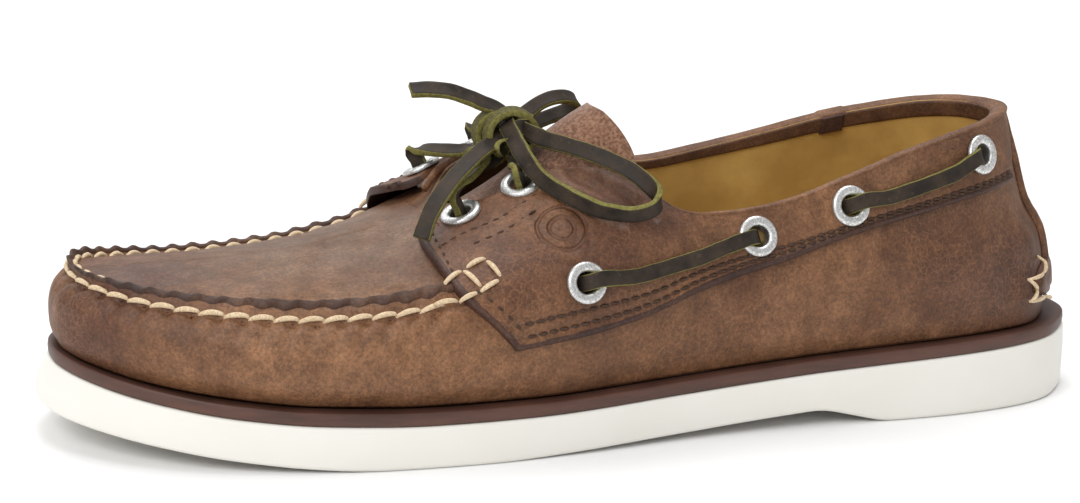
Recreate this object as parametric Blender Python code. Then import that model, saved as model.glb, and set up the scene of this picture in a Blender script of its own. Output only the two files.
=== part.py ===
"""A left boat shoe with a moccasin toe: outsole, midsole, insole, hollow upper, collar overlay,
heel patches, tongue, eyelets and a rawhide lace.

The toe points to -X, the heel to +X, the lateral side to -Y. The shoe stands on z = 0.
Sizes below are in millimetres; mesh_object turns them into metres.
"""

import math

import bmesh
import bpy
import numpy as np

MM = 0.001
GAP = 0.3  # between pieces that touch

# Driving dimensions
SOLE_INSET = 5.5  # the upper's wall starts this far inside the sole's edge
TOE_FLARE = 2.6  # the outsole's toe reaches this far past the midsole's
MIDSOLE = 3.6
INSOLE = 3.0
WALL = 1.9  # the upper's leather and lining
OVERLAY = 1.6  # the collar band's leather
BAND_GAP = 0.5
RIDGE_HIGH, RIDGE_WIDE = 1.9, 3.0  # the moccasin seam's bead
EYELET_R, EYELET_HOLE_R = 5.6, 2.9
BARREL_R = 3.4
DRILL_R = 3.9  # the holes that the eyelets' barrels pass through
LACE_WIDE, LACE_THICK = 4.6, 1.8
CORD_R = 1.3  # the round stand-in of the flat lace

# Sole outline: x, half width on the lateral side, half width on the medial side.
OUTLINE = [
    (-150, 0, 0), (-148.5, 10, 11), (-143, 20.5, 21), (-132, 31.5, 31.5), (-115, 42, 41.5),
    (-95, 48.5, 48), (-75, 51.5, 51.5), (-55, 52, 52), (-35, 51, 50), (-10, 47.6, 44),
    (20, 42, 38.5), (50, 38.6, 36.6), (75, 37, 36.6), (100, 35.4, 37.5), (120, 31.5, 36),
    (134, 25.5, 31), (143, 17, 23), (148.5, 8.5, 12.5), (150, 0, 0),
]
# x and height of the outsole's underside and of its top.
UNDERSIDE = [
    (-150, 8.9), (-130, 5.9), (-110, 3.3), (-92, 1.4), (-78, 0.3), (-70, 0), (-50, 0), (-35, 0),
    (-15, 0.7), (20, 2.2), (45, 3.8), (60, 4.7), (79, 0), (90, 0), (138, 0), (150, 0.8),
]
SOLE_TOP = [
    (-150, 21.1), (-130, 17), (-110, 14.3), (-90, 12.5), (-60, 11.3), (-20, 11.4), (20, 13),
    (60, 15.4), (100, 17.2), (150, 18.7),
]

# Ribs of the upper, from the toe (0) to the heel (20). Each has its foot's x on the sole, how far
# it bulges, its shoulder point (the moccasin seam in front), a point above it and its top edge.
LATERAL = [
    (-144.5, 3.2, (-140.5, 0, 44.6), (-140, 0, 44.4), (-139.5, 0, 44.3)),
    (-141, 3.4, (-137.8, -12, 44), (-137.6, -6, 44.4), (-137.5, 0, 44.6)),
    (-130, 4, (-129.5, -22.5, 43), (-129.2, -11, 44.4), (-129, 0, 44.8)),
    (-117, 4.6, (-118.5, -30, 42), (-118.2, -15, 44.4), (-118, 0, 45.2)),
    (-103, 5, (-105, -35.5, 41.2), (-105, -18, 44.6), (-105, 0, 45.6)),
    (-89, 5.2, (-90, -39, 40.6), (-90, -20, 45), (-90, 0, 46.8)),
    (-75, 5, (-75, -41.3, 41), (-75, -22, 46.6), (-75, 0, 49)),
    (-61, 4.6, (-60, -42.6, 42.6), (-60, -24, 49.2), (-60, 0, 52.4)),
    (-48, 4, (-48, -43, 45.4), (-47, -25, 53.2), (-46, 0, 56.6)),
    (-34, 3.6, (-34, -43, 48), (-33, -30, 57), (-33, -15, 62)),
    (-18, 3.2, (-17, -42, 51), (-16, -29.5, 63), (-14, -16.5, 69.5)),
    (-2, 3, (0, -40.5, 52), (2, -31.5, 62), (4, -22, 68)),
    (14, 2.6, (14, -38.5, 50), (15, -34.8, 56.5), (16, -31, 61)),
    (30, 2.4, (30, -36.5, 48), (30, -33.4, 54.5), (30, -30.5, 60)),
    (48, 2.4, (48, -35, 48), (48, -32.3, 56), (48, -29.8, 62.5)),
    (66, 2.4, (66, -34, 50), (66, -31.3, 59.5), (66, -28.5, 68.2)),
    (84, 2.4, (83.5, -32.2, 52), (83.5, -29, 63), (83.5, -25.8, 73.8)),
    (101, 2.2, (99, -29, 53.5), (98.5, -26, 66), (98, -23, 77.6)),
    (118, 1.8, (114, -23.5, 54.5), (112.5, -20.5, 68), (111.5, -17.5, 80)),
    (133, 1.2, (128, -13, 55), (124, -11.5, 69.5), (121, -9.5, 81.2)),
    (144.3, 0.6, (135.6, 2.5, 55), (130.6, 2.5, 69), (126, 2.5, 81.4)),
]
MEDIAL = [
    LATERAL[0],
    (-141, 3.4, (-137.8, 11, 44.4), (-137.6, 6, 44.5), (-137.5, 0, 44.6)),
    (-130, 4, (-129.5, 20, 42.4), (-129.2, 10, 44.2), (-129, 0, 44.8)),
    (-117, 4.6, (-118.5, 27, 40.6), (-118.2, 14, 43.8), (-118, 0, 45.2)),
    (-103, 5, (-105, 32, 39.4), (-105, 17, 43.6), (-105, 0, 45.6)),
    (-89, 5.2, (-90, 36, 39.2), (-90, 19, 44.4), (-90, 0, 46.8)),
    (-75, 5, (-75, 38.8, 40.2), (-75, 21, 46), (-75, 0, 49)),
    (-61, 4.6, (-60, 40.2, 43), (-60, 23, 49.4), (-60, 0, 52.4)),
    (-48, 4, (-48, 40.5, 47), (-47, 24, 54.4), (-46, 0, 56.6)),
    (-34, 3.4, (-34, 39.5, 50.5), (-33, 29, 59.6), (-33, 17, 65.2)),
    (-18, 3, (-17, 38, 53), (-16, 28.5, 64.8), (-14, 18, 71.2)),
    (-2, 2.6, (0, 36.5, 53), (2, 30.5, 63.4), (4, 23.5, 70)),
    (14, 2.4, (14, 35.2, 51), (15, 33.4, 58), (16, 31.5, 63.2)),
    (30, 2.2, (30, 34.4, 49), (30, 33.4, 56), (30, 32, 62.3)),
    (48, 2.2, (48, 34.2, 49), (48, 33.6, 58), (48, 32.3, 65.4)),
    (66, 2.2, (66, 34.2, 50.5), (66, 33.2, 60.5), (66, 31.6, 69.4)),
    (84, 2.2, (83.5, 33.8, 52), (83.5, 31.9, 63.5), (83.5, 29.6, 74)),
    (101, 2.2, (99, 32, 53.5), (98.5, 29.5, 66), (98, 27, 77)),
    (118, 1.8, (114, 27.5, 54.5), (112.5, 25, 68), (111.5, 22.5, 79.6)),
    (133, 1.2, (128, 18, 55), (124, 16.5, 69.5), (121, 14.5, 81)),
    LATERAL[20],
]
FINE = 360  # steps of the outline's curve along each side of the sole
RIBS = 20
THROAT_RIB = 8  # the plug closes the upper from the toe to this rib
SHOULDER, TOP = 3, 5  # places along a rib

# Collar band: lower edge as x and height, from its front corner to the back strap.
BAND_LOW = [(-34, 29.7), (-10, 32.8), (10, 37.6), (37, 44.9), (65, 52.4), (94, 58.4), (122, 62.4)]
BAND_FRONT, BAND_BACK = 8.0, 19.2  # ribs where the band's top edge starts and ends
# Rib places up the bands' front edges, lateral and medial.
BAND_NOSE = {-1: [(8.12, 2.5), (7.68, 3.5), (7.6, 4.25), (8.1, 4.9)],
             1: [(8.12, 2.5), (7.75, 3.4), (7.75, 4.1), (8.4, 4.7)]}
# Eyelets: x and y (throat) or x and height (sides), on each side of the shoe.
THROAT_EYELETS = {
    "throat_front_lateral": (-39.5, -18.5), "throat_rear_lateral": (-23.5, -19),
    "throat_front_medial": (-37.5, 21.5), "throat_rear_medial": (-23, 21),
}
SIDE_EYELETS = {"side_1": (-14.6, 45.9), "side_2": (38, 53.4), "side_3": (66, 60.6),
                "side_4": (109, 71.6)}
KNOT = np.array((-22.0, 2.5, 79.0))
KNOT_RADII = np.array((7.0, 5.6, 5.2))
LACE_ENDS = {
    "lace_end_upper": [(-28.8, 3, 85.2), (-32.3, 3, 86.7), (-38, 3, 88.8), (-43.6, 3.5, 89.6),
                       (-49, 3.5, 89.6)],
    "lace_end_lower": [(-28, -5.2, 75.6), (-32.5, -9.5, 74.6), (-39.6, -15.7, 71.2),
                       (-46.3, -22.5, 67.4), (-51.5, -27, 62), (-54.4, -29, 55.8)],
}
LACE_LOOPS = {
    "lace_loop_near": [(-23.2, -6.8, 78.4), (-23.8, -17, 75.9), (-23, -23.4, 73),
                       (-19.9, -27, 69.3), (-14.6, -33.5, 66.5), (-8.3, -38, 64), (-0.7, -40.5, 63),
                       (4.1, -41, 63.9), (7.7, -39.5, 66.2), (6.4, -35.5, 69.1), (2.7, -30, 72.4),
                       (-3.9, -24, 75.2), (-10.4, -18, 76.9), (-15.4, -12, 77.7), (-18.1, -7, 78.6)],
    "lace_loop_far": [(-14.2, 7, 81.7), (-10.2, 8, 84), (-5.3, 9.5, 85.1), (-0.3, 12, 84.3),
                      (2.8, 16.5, 81.8), (0.1, 20.6, 78.8), (-5.2, 17.4, 77.9), (-10.6, 11.8, 77.4)],
}

COLOURS = {
    "rubber": (0.82, 0.80, 0.72), "midsole": (0.13, 0.06, 0.045), "leather": (0.16, 0.085, 0.05),
    "suede": (0.18, 0.10, 0.07), "lining": (0.45, 0.27, 0.10), "metal": (0.75, 0.75, 0.76),
    "lace": (0.04, 0.03, 0.02),
}
ROUGHNESS = {"rubber": 0.55, "metal": 0.35, "midsole": 0.6, "lining": 0.8, "suede": 0.9}


def material(name):
    found = bpy.data.materials.get(name)
    if found:
        return found
    made = bpy.data.materials.new(name)
    made.use_nodes = True
    shader = made.node_tree.nodes["Principled BSDF"]
    shader.inputs["Base Color"].default_value = (*COLOURS[name], 1)
    shader.inputs["Roughness"].default_value = ROUGHNESS.get(name, 0.65)
    shader.inputs["Metallic"].default_value = 1.0 if name == "metal" else 0.0
    return made


def mesh_object(name, points, faces, finish):
    """A named object from points in millimetres, its faces turned outward."""
    mesh = bpy.data.meshes.new(name)
    mesh.from_pydata([tuple(np.asarray(p) * MM) for p in points], [], faces)
    work = bmesh.new()
    work.from_mesh(mesh)
    bmesh.ops.remove_doubles(work, verts=work.verts, dist=0.00001)
    bmesh.ops.recalc_face_normals(work, faces=work.faces)
    work.to_mesh(mesh)
    work.free()
    mesh.shade_smooth()
    mesh.set_sharp_from_angle(angle=math.radians(40))
    mesh.materials.append(material(finish))
    made = bpy.data.objects.new(name, mesh)
    bpy.context.scene.collection.objects.link(made)
    return made


def smooth_at(points, t):
    """Points of a Catmull-Rom curve through rows of numbers, at places t (0, 1, 2... on the rows)."""
    rows = np.asarray(points, float)
    padded = np.vstack([2 * rows[0] - rows[1], rows, 2 * rows[-1] - rows[-2]])
    t = np.clip(np.atleast_1d(np.asarray(t, float)), 0, len(rows) - 1)
    i = np.minimum(t.astype(int), len(rows) - 2)
    f = (t - i)[:, None]
    a, b, c, d = padded[i], padded[i + 1], padded[i + 2], padded[i + 3]
    return 0.5 * (2 * b + (c - a) * f + (2 * a - 5 * b + 4 * c - d) * f**2
                  + (3 * b - a - 3 * c + d) * f**3)


def profile(rows, x):
    """Height at x along a side profile of straight stretches between its points."""
    xs, zs = zip(*rows)
    return np.interp(x, xs, zs)


def outline(side, inset=0.0, count=48):
    """One side of the sole's outline, toe to heel: side -1 is lateral, +1 is medial."""
    lateral = [(x, -wide) for x, wide, _ in OUTLINE]
    medial = [(x, wide) for x, _, wide in OUTLINE]
    ring = lateral + medial[-2:0:-1]
    dense = smooth_at([*ring[-2:], *ring, *ring[:3]], np.linspace(2, len(ring) + 2, 2 * FINE + 1))
    along = np.roll(dense, -1, 0) - np.roll(dense, 1, 0)
    along[0] = along[-1] = dense[1] - dense[-2]
    inward = np.stack([-along[:, 1], along[:, 0]], 1)
    moved = dense + inward / np.linalg.norm(inward, axis=1)[:, None] * inset
    half = moved[:FINE + 1] if side < 0 else moved[FINE:][::-1]
    x0, x1 = half[0, 0], half[-1, 0]
    x = (x0 + x1) / 2 - (x1 - x0) / 2 * np.cos(np.linspace(0, math.pi, count + 1))
    order = np.argsort(half[:, 0])
    return np.stack([x, np.interp(x, half[order, 0], half[order, 1])], 1)


def slab(name, levels, finish, count=40):
    """A closed plate of stacked outlines, bottom to top: each is (inset, height function, and how
    far its toe is drawn back)."""
    points, rings = [], []
    for inset, height, *drawn in levels:
        lateral, medial = outline(-1, inset, count), outline(1, inset, count)
        ring = np.vstack([lateral, medial[-2:0:-1]])
        if drawn:
            ring[:, 0] += drawn[0] * np.clip((-ring[:, 0] - 90) / 60, 0, 1) ** 2
        rings.append(len(points))
        points += [(x, y, height(x)) for x, y in ring]
    size = 2 * count
    faces = []
    for low, high in zip(rings, rings[1:]):
        faces += [(low + i, low + (i + 1) % size, high + (i + 1) % size, high + i)
                  for i in range(size)]
    for start in (rings[0], rings[-1]):
        for i in range(1, count - 1):
            faces.append((start + i, start + i + 1, start + size - i - 1, start + size - i))
        faces.append((start, start + 1, start + size - 1))
        faces.append((start + count, start + count - 1, start + count + 1))
    return mesh_object(name, points, faces, finish)


def grid_faces(rows, columns, start=0, closed=False):
    wide = columns if closed else columns - 1
    return [(start + r * columns + c, start + r * columns + (c + 1) % columns,
             start + (r + 1) * columns + (c + 1) % columns, start + (r + 1) * columns + c)
            for r in range(rows - 1) for c in range(wide)]


def foot(side, x):
    """The upper's lowest point at x on the sole, and the direction out of the shoe there."""
    line = outline(side, SOLE_INSET, 120)
    y = np.interp(x, line[:, 0], line[:, 1])
    i = int(np.clip(np.searchsorted(line[:, 0], x), 1, len(line) - 2))
    along = line[i + 1] - line[i - 1]
    out = np.array([along[1], -along[0], 0]) * (1 if side < 0 else -1)
    z = profile(SOLE_TOP, x) + MIDSOLE + 2 * GAP
    return np.array([x, y, z]), out / np.linalg.norm(out)


def rib_points(side, row):
    """Six points up a rib: foot, two on the bulged wall, shoulder, one above it, top edge."""
    x, bulge, shoulder, above, top = row
    base, out = foot(side, x)
    if abs(shoulder[1]) < 3:
        out = np.array([math.copysign(1, x), 0, 0])
        base[1] = shoulder[1]
    shoulder = np.array(shoulder, float)
    low = base + (shoulder - base) * (0.10, 0.10, 0.27) + out * bulge * 0.8
    high = base + (shoulder - base) * (0.42, 0.42, 0.70) + out * bulge
    return np.array([base, low, high, shoulder, above, top], float)


def rib_net():
    """The ribs round the shoe: 0 toe, 1-19 lateral, 20 heel, 21-39 medial back to the toe."""
    lateral = [rib_points(-1, row) for row in LATERAL]
    medial = [rib_points(1, row) for row in MEDIAL]
    return np.array(lateral + medial[-2:0:-1])


NET = rib_net()


def ridge(u, v):
    """Height of the moccasin seam's bead at rib u and place v along it."""
    near = min(u, 2 * RIBS - u)
    fade = min(max((THROAT_RIB + 0.1 - near) / 0.5, 0), 1)
    width = RIDGE_WIDE / 12.0
    return RIDGE_HIGH * fade * math.exp(-(((v - SHOULDER) / width) ** 2))


def bare_rows(u):
    """The six points of the rib at place u round the shoe (0 to 40)."""
    ring = np.concatenate([NET[-2:], NET, NET[:3]])
    flat = smooth_at(ring.reshape(len(ring), -1), u % (2 * RIBS) + 2)[0].reshape(6, 3)
    if min(u % (2 * RIBS), 2 * RIBS - u % (2 * RIBS)) <= THROAT_RIB:
        flat[TOP][1] = 0
    return flat


def bare_point(u, v):
    rows = bare_rows(u)
    near = min(u % (2 * RIBS), 2 * RIBS - u % (2 * RIBS))
    if near <= THROAT_RIB:
        across = bare_rows(2 * RIBS - u)
        rows = np.vstack([rows, across[4]])
    return smooth_at(rows, v)[0]


def upper_point(u, v, offset=0.0):
    """A point of the upper's outside, or offset millimetres out of it."""
    step = 0.02
    near = min(u % (2 * RIBS), 2 * RIBS - u % (2 * RIBS))
    top = TOP if near > THROAT_RIB + 0.001 else TOP - 0.001
    v = min(v, top)
    here = bare_point(u, v)
    along = bare_point(u + step, v) - bare_point(u - step, v)
    up = bare_point(u, min(v + step, TOP)) - bare_point(u, max(v - step, 0))
    normal = np.cross(along, up)
    size = np.linalg.norm(normal)
    normal = normal / size if size > 1e-9 else np.array([0, 0, 1.0])
    return here + normal * (offset + ridge(u % (2 * RIBS), v))


def place_at(side, x, other, axis=2):
    """The rib place and the place along it where the upper has this x and this y or height."""
    u, v = 10 + x / 16, 2.0 if axis == 2 else 4.2
    if side > 0:
        u = 2 * RIBS - u
    for _ in range(24):
        here = bare_point(u, v)
        du = (bare_point(u + 0.05, v) - here) / 0.05
        dv = (bare_point(u, min(v + 0.05, 5)) - bare_point(u, min(v + 0.05, 5) - 0.05)) / 0.05
        wrong = np.array([x - here[0], other - here[axis]])
        slopes = np.array([[du[0], dv[0]], [du[axis], dv[axis]]])
        turn = np.linalg.lstsq(slopes, wrong, rcond=None)[0]
        u += float(np.clip(turn[0], -1, 1))
        v = float(np.clip(v + np.clip(turn[1], -0.6, 0.6), 0.05, 4.95))
    return u, v


def shell(name, place, rows, columns, inner, outer, finish, closed=False):
    """A closed sheet between two offsets of a surface: place(i, j, offset) gives its points."""
    outside = [place(i / (rows - 1), j / (columns - (0 if closed else 1)), outer)
               for i in range(rows) for j in range(columns)]
    inside = [place(i / (rows - 1), j / (columns - (0 if closed else 1)), inner)
              for i in range(rows) for j in range(columns)]
    size = rows * columns
    faces = grid_faces(rows, columns, 0, closed)
    faces += [tuple(size + k for k in reversed(f)) for f in faces[:]]
    wide = columns if closed else columns - 1
    for r in (0, rows - 1):
        faces += [(r * columns + c, r * columns + (c + 1) % columns,
                   size + r * columns + (c + 1) % columns, size + r * columns + c)
                  for c in range(wide)]
    if not closed:
        for c in (0, columns - 1):
            faces += [(r * columns + c, (r + 1) * columns + c,
                       size + (r + 1) * columns + c, size + r * columns + c)
                      for r in range(rows - 1)]
    return mesh_object(name, outside + inside, faces, finish)


def cut(target, name, cutter_points, cutter_faces):
    """Takes the closed cutter out of the target."""
    cutter = mesh_object(name, cutter_points, cutter_faces, "leather")
    cutter.hide_render = True
    cutter.display_type = "WIRE"
    work = target.modifiers.new(name, "BOOLEAN")
    work.operation = "DIFFERENCE"
    work.object = cutter


def basis(axis, along=(1, 0, 0)):
    axis = np.asarray(axis, float) / np.linalg.norm(axis)
    side = np.asarray(along, float) - axis * np.dot(along, axis)
    side /= np.linalg.norm(side)
    return side, np.cross(axis, side), axis


def lathe(name, centre, axis, section, finish, count=16):
    """A ring turned round an axis from a closed section of (radius, height) points."""
    side, across, axis = basis(axis)
    points = [centre + (side * math.cos(a) + across * math.sin(a)) * r + axis * h
              for r, h in section
              for a in (2 * math.pi * k / count for k in range(count))]
    faces = grid_faces(len(section), count, closed=True)
    last = (len(section) - 1) * count
    faces += [(last + c, last + (c + 1) % count, (c + 1) % count, c) for c in range(count)]
    return mesh_object(name, points, faces, finish)


def drill(centre, axis, count=10, reach=7.0):
    """Points and faces of a drill through centre along axis, reaching as far both ways."""
    side, across, axis = basis(axis)
    turns = [2 * math.pi * k / count for k in range(count)]
    points = [centre + (side * math.cos(a) + across * math.sin(a)) * DRILL_R + axis * h
              for h in (-reach, reach) for a in turns]
    faces = [(k, (k + 1) % count, count + (k + 1) % count, count + k) for k in range(count)]
    return points, [*faces, tuple(range(count))[::-1], tuple(range(count, 2 * count))]


def strap(path, widths, wide=LACE_WIDE, thick=LACE_THICK):
    """Points and faces of a flat strap along a path; widths holds its width's direction."""
    path = np.asarray(path, float)
    widths = np.asarray(widths, float)
    along = np.gradient(path, axis=0)
    points = []
    for p, t, w in zip(path, along, widths):
        t = t / np.linalg.norm(t)
        w = w - t * np.dot(w, t)
        w /= np.linalg.norm(w)
        n = np.cross(t, w)
        points += [p + w * a * wide / 2 + n * b * thick / 2
                   for a, b in ((-1, -1), (1, -1), (1, 1), (-1, 1))]
    faces = grid_faces(len(path), 4, closed=True)
    last = 4 * (len(path) - 1)
    return points, [*faces, (3, 2, 1, 0), (last, last + 1, last + 2, last + 3)]


def make_sole():
    def underside(x):
        return profile(UNDERSIDE, x)

    def top(x):
        return profile(SOLE_TOP, x)

    def raised(base, by):
        return lambda x: base(x) + by

    outsole = slab("outsole", [
        (6.6, underside), (6.2, raised(underside, 1.2)), (4.0, raised(underside, 1.2)),
        (3.6, underside), (0.8, underside), (0.2, raised(underside, 0.8)), (0.0, raised(top, -6)),
        (0.3, raised(top, -0.8), TOE_FLARE), (0.8, top, TOE_FLARE), (9.0, top, TOE_FLARE),
    ], "rubber")
    midsole = slab("midsole", [
        (9.5, raised(top, GAP), TOE_FLARE), (1.2, raised(top, GAP), TOE_FLARE),
        (0.8, raised(top, GAP + 0.5), TOE_FLARE), (0.8, raised(top, GAP + MIDSOLE - 0.5), TOE_FLARE),
        (1.2, raised(top, GAP + MIDSOLE), TOE_FLARE), (9.5, raised(top, GAP + MIDSOLE), TOE_FLARE),
    ], "midsole")
    floor = GAP * 2 + MIDSOLE
    inset = SOLE_INSET + WALL + 2.6
    insole = slab("insole", [
        (inset + 0.6, raised(top, floor)), (inset, raised(top, floor + 0.6)),
        (inset, raised(top, floor + INSOLE - 0.6)), (inset + 0.6, raised(top, floor + INSOLE)),
    ], "lining")
    return outsole, midsole, insole


def make_upper():
    """The wall round the shoe with its plug, in one piece, open at the throat and underneath."""
    per_rib = 1.5
    places = [u / per_rib for u in range(int(2 * RIBS * per_rib))]
    around = len(places)
    ups = [0, 0.6, 1.2, 1.8, 2.4, 2.8, 3, 3.2, 3.6, 4.1, 4.6, 5]
    points, faces = [], []
    for offset in (0.0, -WALL):
        start = len(points)
        points += [upper_point(u, v, offset) for v in ups for u in places]
        layer = grid_faces(len(ups), around, start, closed=True)
        faces += layer if offset == 0 else [f[::-1] for f in layer]
    size = around * len(ups)
    faces += [(c, (c + 1) % around, size + (c + 1) % around, size + c) for c in range(around)]
    top = (len(ups) - 1) * around
    for c in range(around):
        here, after = places[c], places[c] + 1 / per_rib
        if min(here, after, 2 * RIBS - here, 2 * RIBS - after) < THROAT_RIB - 0.01:
            continue
        d = (c + 1) % around
        faces.append((top + c, top + d, size + top + d, size + top + c))
    for offset in (0.0, -WALL):
        start = 0 if offset == 0 else size
        for c in range(int(THROAT_RIB * per_rib) + 1):
            twin = (around - c) % around
            points[start + top + twin] = points[start + top + c] = (
                (np.asarray(points[start + top + c]) + points[start + top + twin]) / 2)
    return mesh_object("upper", points, faces, "leather")


def flap_lift(side, u):
    """How far the band's front edge stands off the plug; the medial flap stands off further."""
    near = min(u % (2 * RIBS), 2 * RIBS - u % (2 * RIBS))
    return (0.5 if side < 0 else 3.0) * math.exp(-((max(near - THROAT_RIB, 0) / 0.9) ** 2))


def band_point(side, u, v, offset):
    lift = flap_lift(side, u) * min(max((v - SHOULDER) / 0.8, 0), 1)
    return upper_point(u, v, offset + lift)


def band_place(side):
    """The collar band's surface: from its lower edge to the collar, front to back."""
    low = [place_at(side, x, z) for x, z in BAND_LOW]
    mirror = (lambda u: u) if side < 0 else (lambda u: 2 * RIBS - u)
    low = [(mirror(u), v) for u, v in low]
    tops = np.linspace(BAND_FRONT, BAND_BACK, len(low))
    low, high = np.array(low), np.array([(t, 4.97) for t in tops])
    edges = [low + (high - low) * share for share in (0, 0.25, 0.5, 0.75, 1)]
    for edge, corner in zip(edges[1:], BAND_NOSE[side]):
        edge[0] = corner

    def place(i, j, offset):
        t = i * (len(low) - 1)
        u, v = smooth_at([smooth_at(edge, t)[0] for edge in edges], (len(edges) - 1) * j)[0]
        return band_point(side, mirror(u), v, offset)
    return place


def make_bands():
    made = {}
    for side, name in ((-1, "collar_band_lateral"), (1, "collar_band_medial")):
        made[side] = shell(name, band_place(side), 24, 11, BAND_GAP, BAND_GAP + OVERLAY, "leather")
    return made


def make_heel():
    """The back strap up the heel, and the kicker patch low on it."""
    def back(low_v, high_v, half):
        def place(i, j, offset):
            return upper_point(RIBS + (2 * i - 1) * half, low_v + (high_v - low_v) * j, offset)
        return place
    shell("back_strap", back(1.75, 4.97, 0.62), 11, 12, GAP, GAP + OVERLAY, "leather")
    shell("heel_patch", back(0.25, 1.6, 1.0), 13, 7, GAP, GAP + 2.4, "leather")


def make_tongue():
    """A leather tab from under the plug up through the throat, its sides turned down and back."""
    centre = [(-62, 0, 47.4), (-46, 0, 52.2), (-33, 0, 57.4), (-20, 0, 64.6), (-9.5, 0, 73.4),
              (2, 0, 84.2)]
    half = [19, 19, 18, 17.5, 19, 7]  # half width at each of those
    last = len(centre) - 1

    def place(i, j, offset):
        t = i * last
        mid = smooth_at(centre, t)[0]
        ahead = smooth_at(centre, min(t + 0.05, last))[0] - smooth_at(centre, max(t - 0.05, 0))[0]
        b = 2 * j - 1
        wide = smooth_at([[w] for w in half], t)[0][0]
        if i > 0.8:
            wide = max(7, 20 * math.sqrt(max(1 - ((i - 0.8) / 0.204) ** 2, 0)))
        curl = min(max((i - 0.55) / 0.3, 0), 1)
        lean = np.array([2.5 + 11 * curl, 0, -6.5 - 2 * curl]) * b * b * (wide / 20) ** 2
        up = np.cross(ahead, (0, 1, 0))
        up /= -np.linalg.norm(up)
        return mid + (0, b * wide, 0) + lean + up * offset
    return shell("tongue", place, 15, 10, -1.1, 1.1, "suede")


def eyelet_frames():
    """Where each eyelet sits on the bands, the direction out of it, and its place on the ribs."""
    places = {}
    for side, word in ((-1, "lateral"), (1, "medial")):
        for name, (x, z) in SIDE_EYELETS.items():
            places[f"{name}_{word}"] = (side, place_at(side, x, z))
        for name, (x, y) in THROAT_EYELETS.items():
            if name.endswith(word):
                places[name] = (side, place_at(side, x, y, axis=1))
    frames = {}
    rise, reach = BAND_GAP + OVERLAY, 0.2
    for name, (side, (u, v)) in places.items():
        at = band_point(side, u, v, rise)
        along = band_point(side, u + reach, v, rise) - band_point(side, u - reach, v, rise)
        up = band_point(side, u, v + reach, rise) - band_point(side, u, v - reach, rise)
        frames[name] = (at, basis(np.cross(along, up))[2], side)
    return frames


def make_eyelets(frames, bodies):
    section = [(EYELET_HOLE_R, 1.0), (4, 1.5), (EYELET_R, 0.8), (EYELET_R, 0.35),
               (BARREL_R, 0.35), (BARREL_R, -4.2), (EYELET_HOLE_R, -4.2)]
    for name, (at, axis, side) in frames.items():
        lathe(f"eyelet_{name}", at, axis, section, "metal", 10)
        for target in (bodies["upper"], bodies[side]):
            points, faces = drill(at, axis)
            cut(target, f"drill_{name}_{target.name}", points, faces)


def make_side_laces(frames):
    """The lace bars that run over the band between two side eyelets."""
    for word in ("lateral", "medial"):
        for first, second in (("side_1", "side_2"), ("side_3", "side_4")):
            (a, na, side), (b, nb, _) = (frames[f"{n}_{word}"] for n in (first, second))
            along = basis(na, b - a)[0]
            path = [a - na * 1.4 - along * 0.7, a + na * 1.2 - along * 0.7,
                    a + na * 2.7 + along * 0.6, a + na * 3.0 + along * 3.4]
            rise = OVERLAY + BAND_GAP
            for f in (0.16, 0.28, 0.4, 0.5, 0.6, 0.72, 0.84):
                x, _, z = a + (b - a) * f - (0, 0, 1.5 * math.sin(math.pi * f))
                u, v = place_at(side, x, z - 1)
                path.append(band_point(side, u, v, rise + 1.6 + 0.9 * abs(2 * f - 1) ** 3))
            along = basis(nb, b - a)[0]
            path += [b + nb * 3.0 - along * 3.4, b + nb * 2.7 - along * 0.6,
                     b + nb * 1.2 + along * 0.7, b - nb * 1.4 + along * 0.7]
            widths = [np.cross(na * (1 - f) + nb * f, b - a)
                      for f in np.linspace(0, 1, len(path))]
            points, faces = strap(path, widths)
            mesh_object(f"side_lace_{first}_{word}", points, faces, "lace")


def make_crossings(frames):
    """Two straps that rise from the throat eyelets and run side by side under the knot."""
    meet = KNOT - (0, 0, KNOT_RADII[2] + 1.6)
    for name, shift in (("front", -3.0), ("rear", 3.0)):
        (a, na, _), (b, nb, _) = (frames[f"throat_{name}_{w}"] for w in ("lateral", "medial"))
        top = meet + (shift, 0, 0)
        inward_a, inward_b = ((top - p) / np.linalg.norm(top - p) for p in (a, b))
        path = [a - na * 1.6, a + na * 2.8, a + na * 5.6 + inward_a * 0.8,
                a * 0.45 + top * 0.55 + na * 2.4,
                top - (0, 4.5, 0.5), top, top + (0, 4.5, -0.5),
                b * 0.45 + top * 0.55 + nb * 2.4,
                b + nb * 5.6 + inward_b * 0.8, b + nb * 2.8, b - nb * 1.6]
        fine = smooth_at(path, np.linspace(0, len(path) - 1, 25))
        points, faces = strap(fine, [(1, 0, 0)] * len(fine))
        mesh_object(f"lace_crossing_{name}", points, faces, "lace")


def make_knot():
    rings, count = 7, 12
    points = [KNOT + KNOT_RADII * (0, 0, -1)]
    for r in range(1, rings):
        a = math.pi * (r / rings - 0.5)
        points += [KNOT + KNOT_RADII * (math.cos(a) * math.cos(2 * math.pi * k / count),
                                        math.cos(a) * math.sin(2 * math.pi * k / count), math.sin(a))
                   for k in range(count)]
    points.append(KNOT + KNOT_RADII * (0, 0, 1))
    faces = grid_faces(rings - 1, count, 1, closed=True)
    last = len(points) - 1
    faces += [(0, 1 + (k + 1) % count, 1 + k) for k in range(count)]
    faces += [(last, last - count + k, last - count + (k + 1) % count) for k in range(count)]
    mesh_object("lace_knot", points, faces, "lace")


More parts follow.
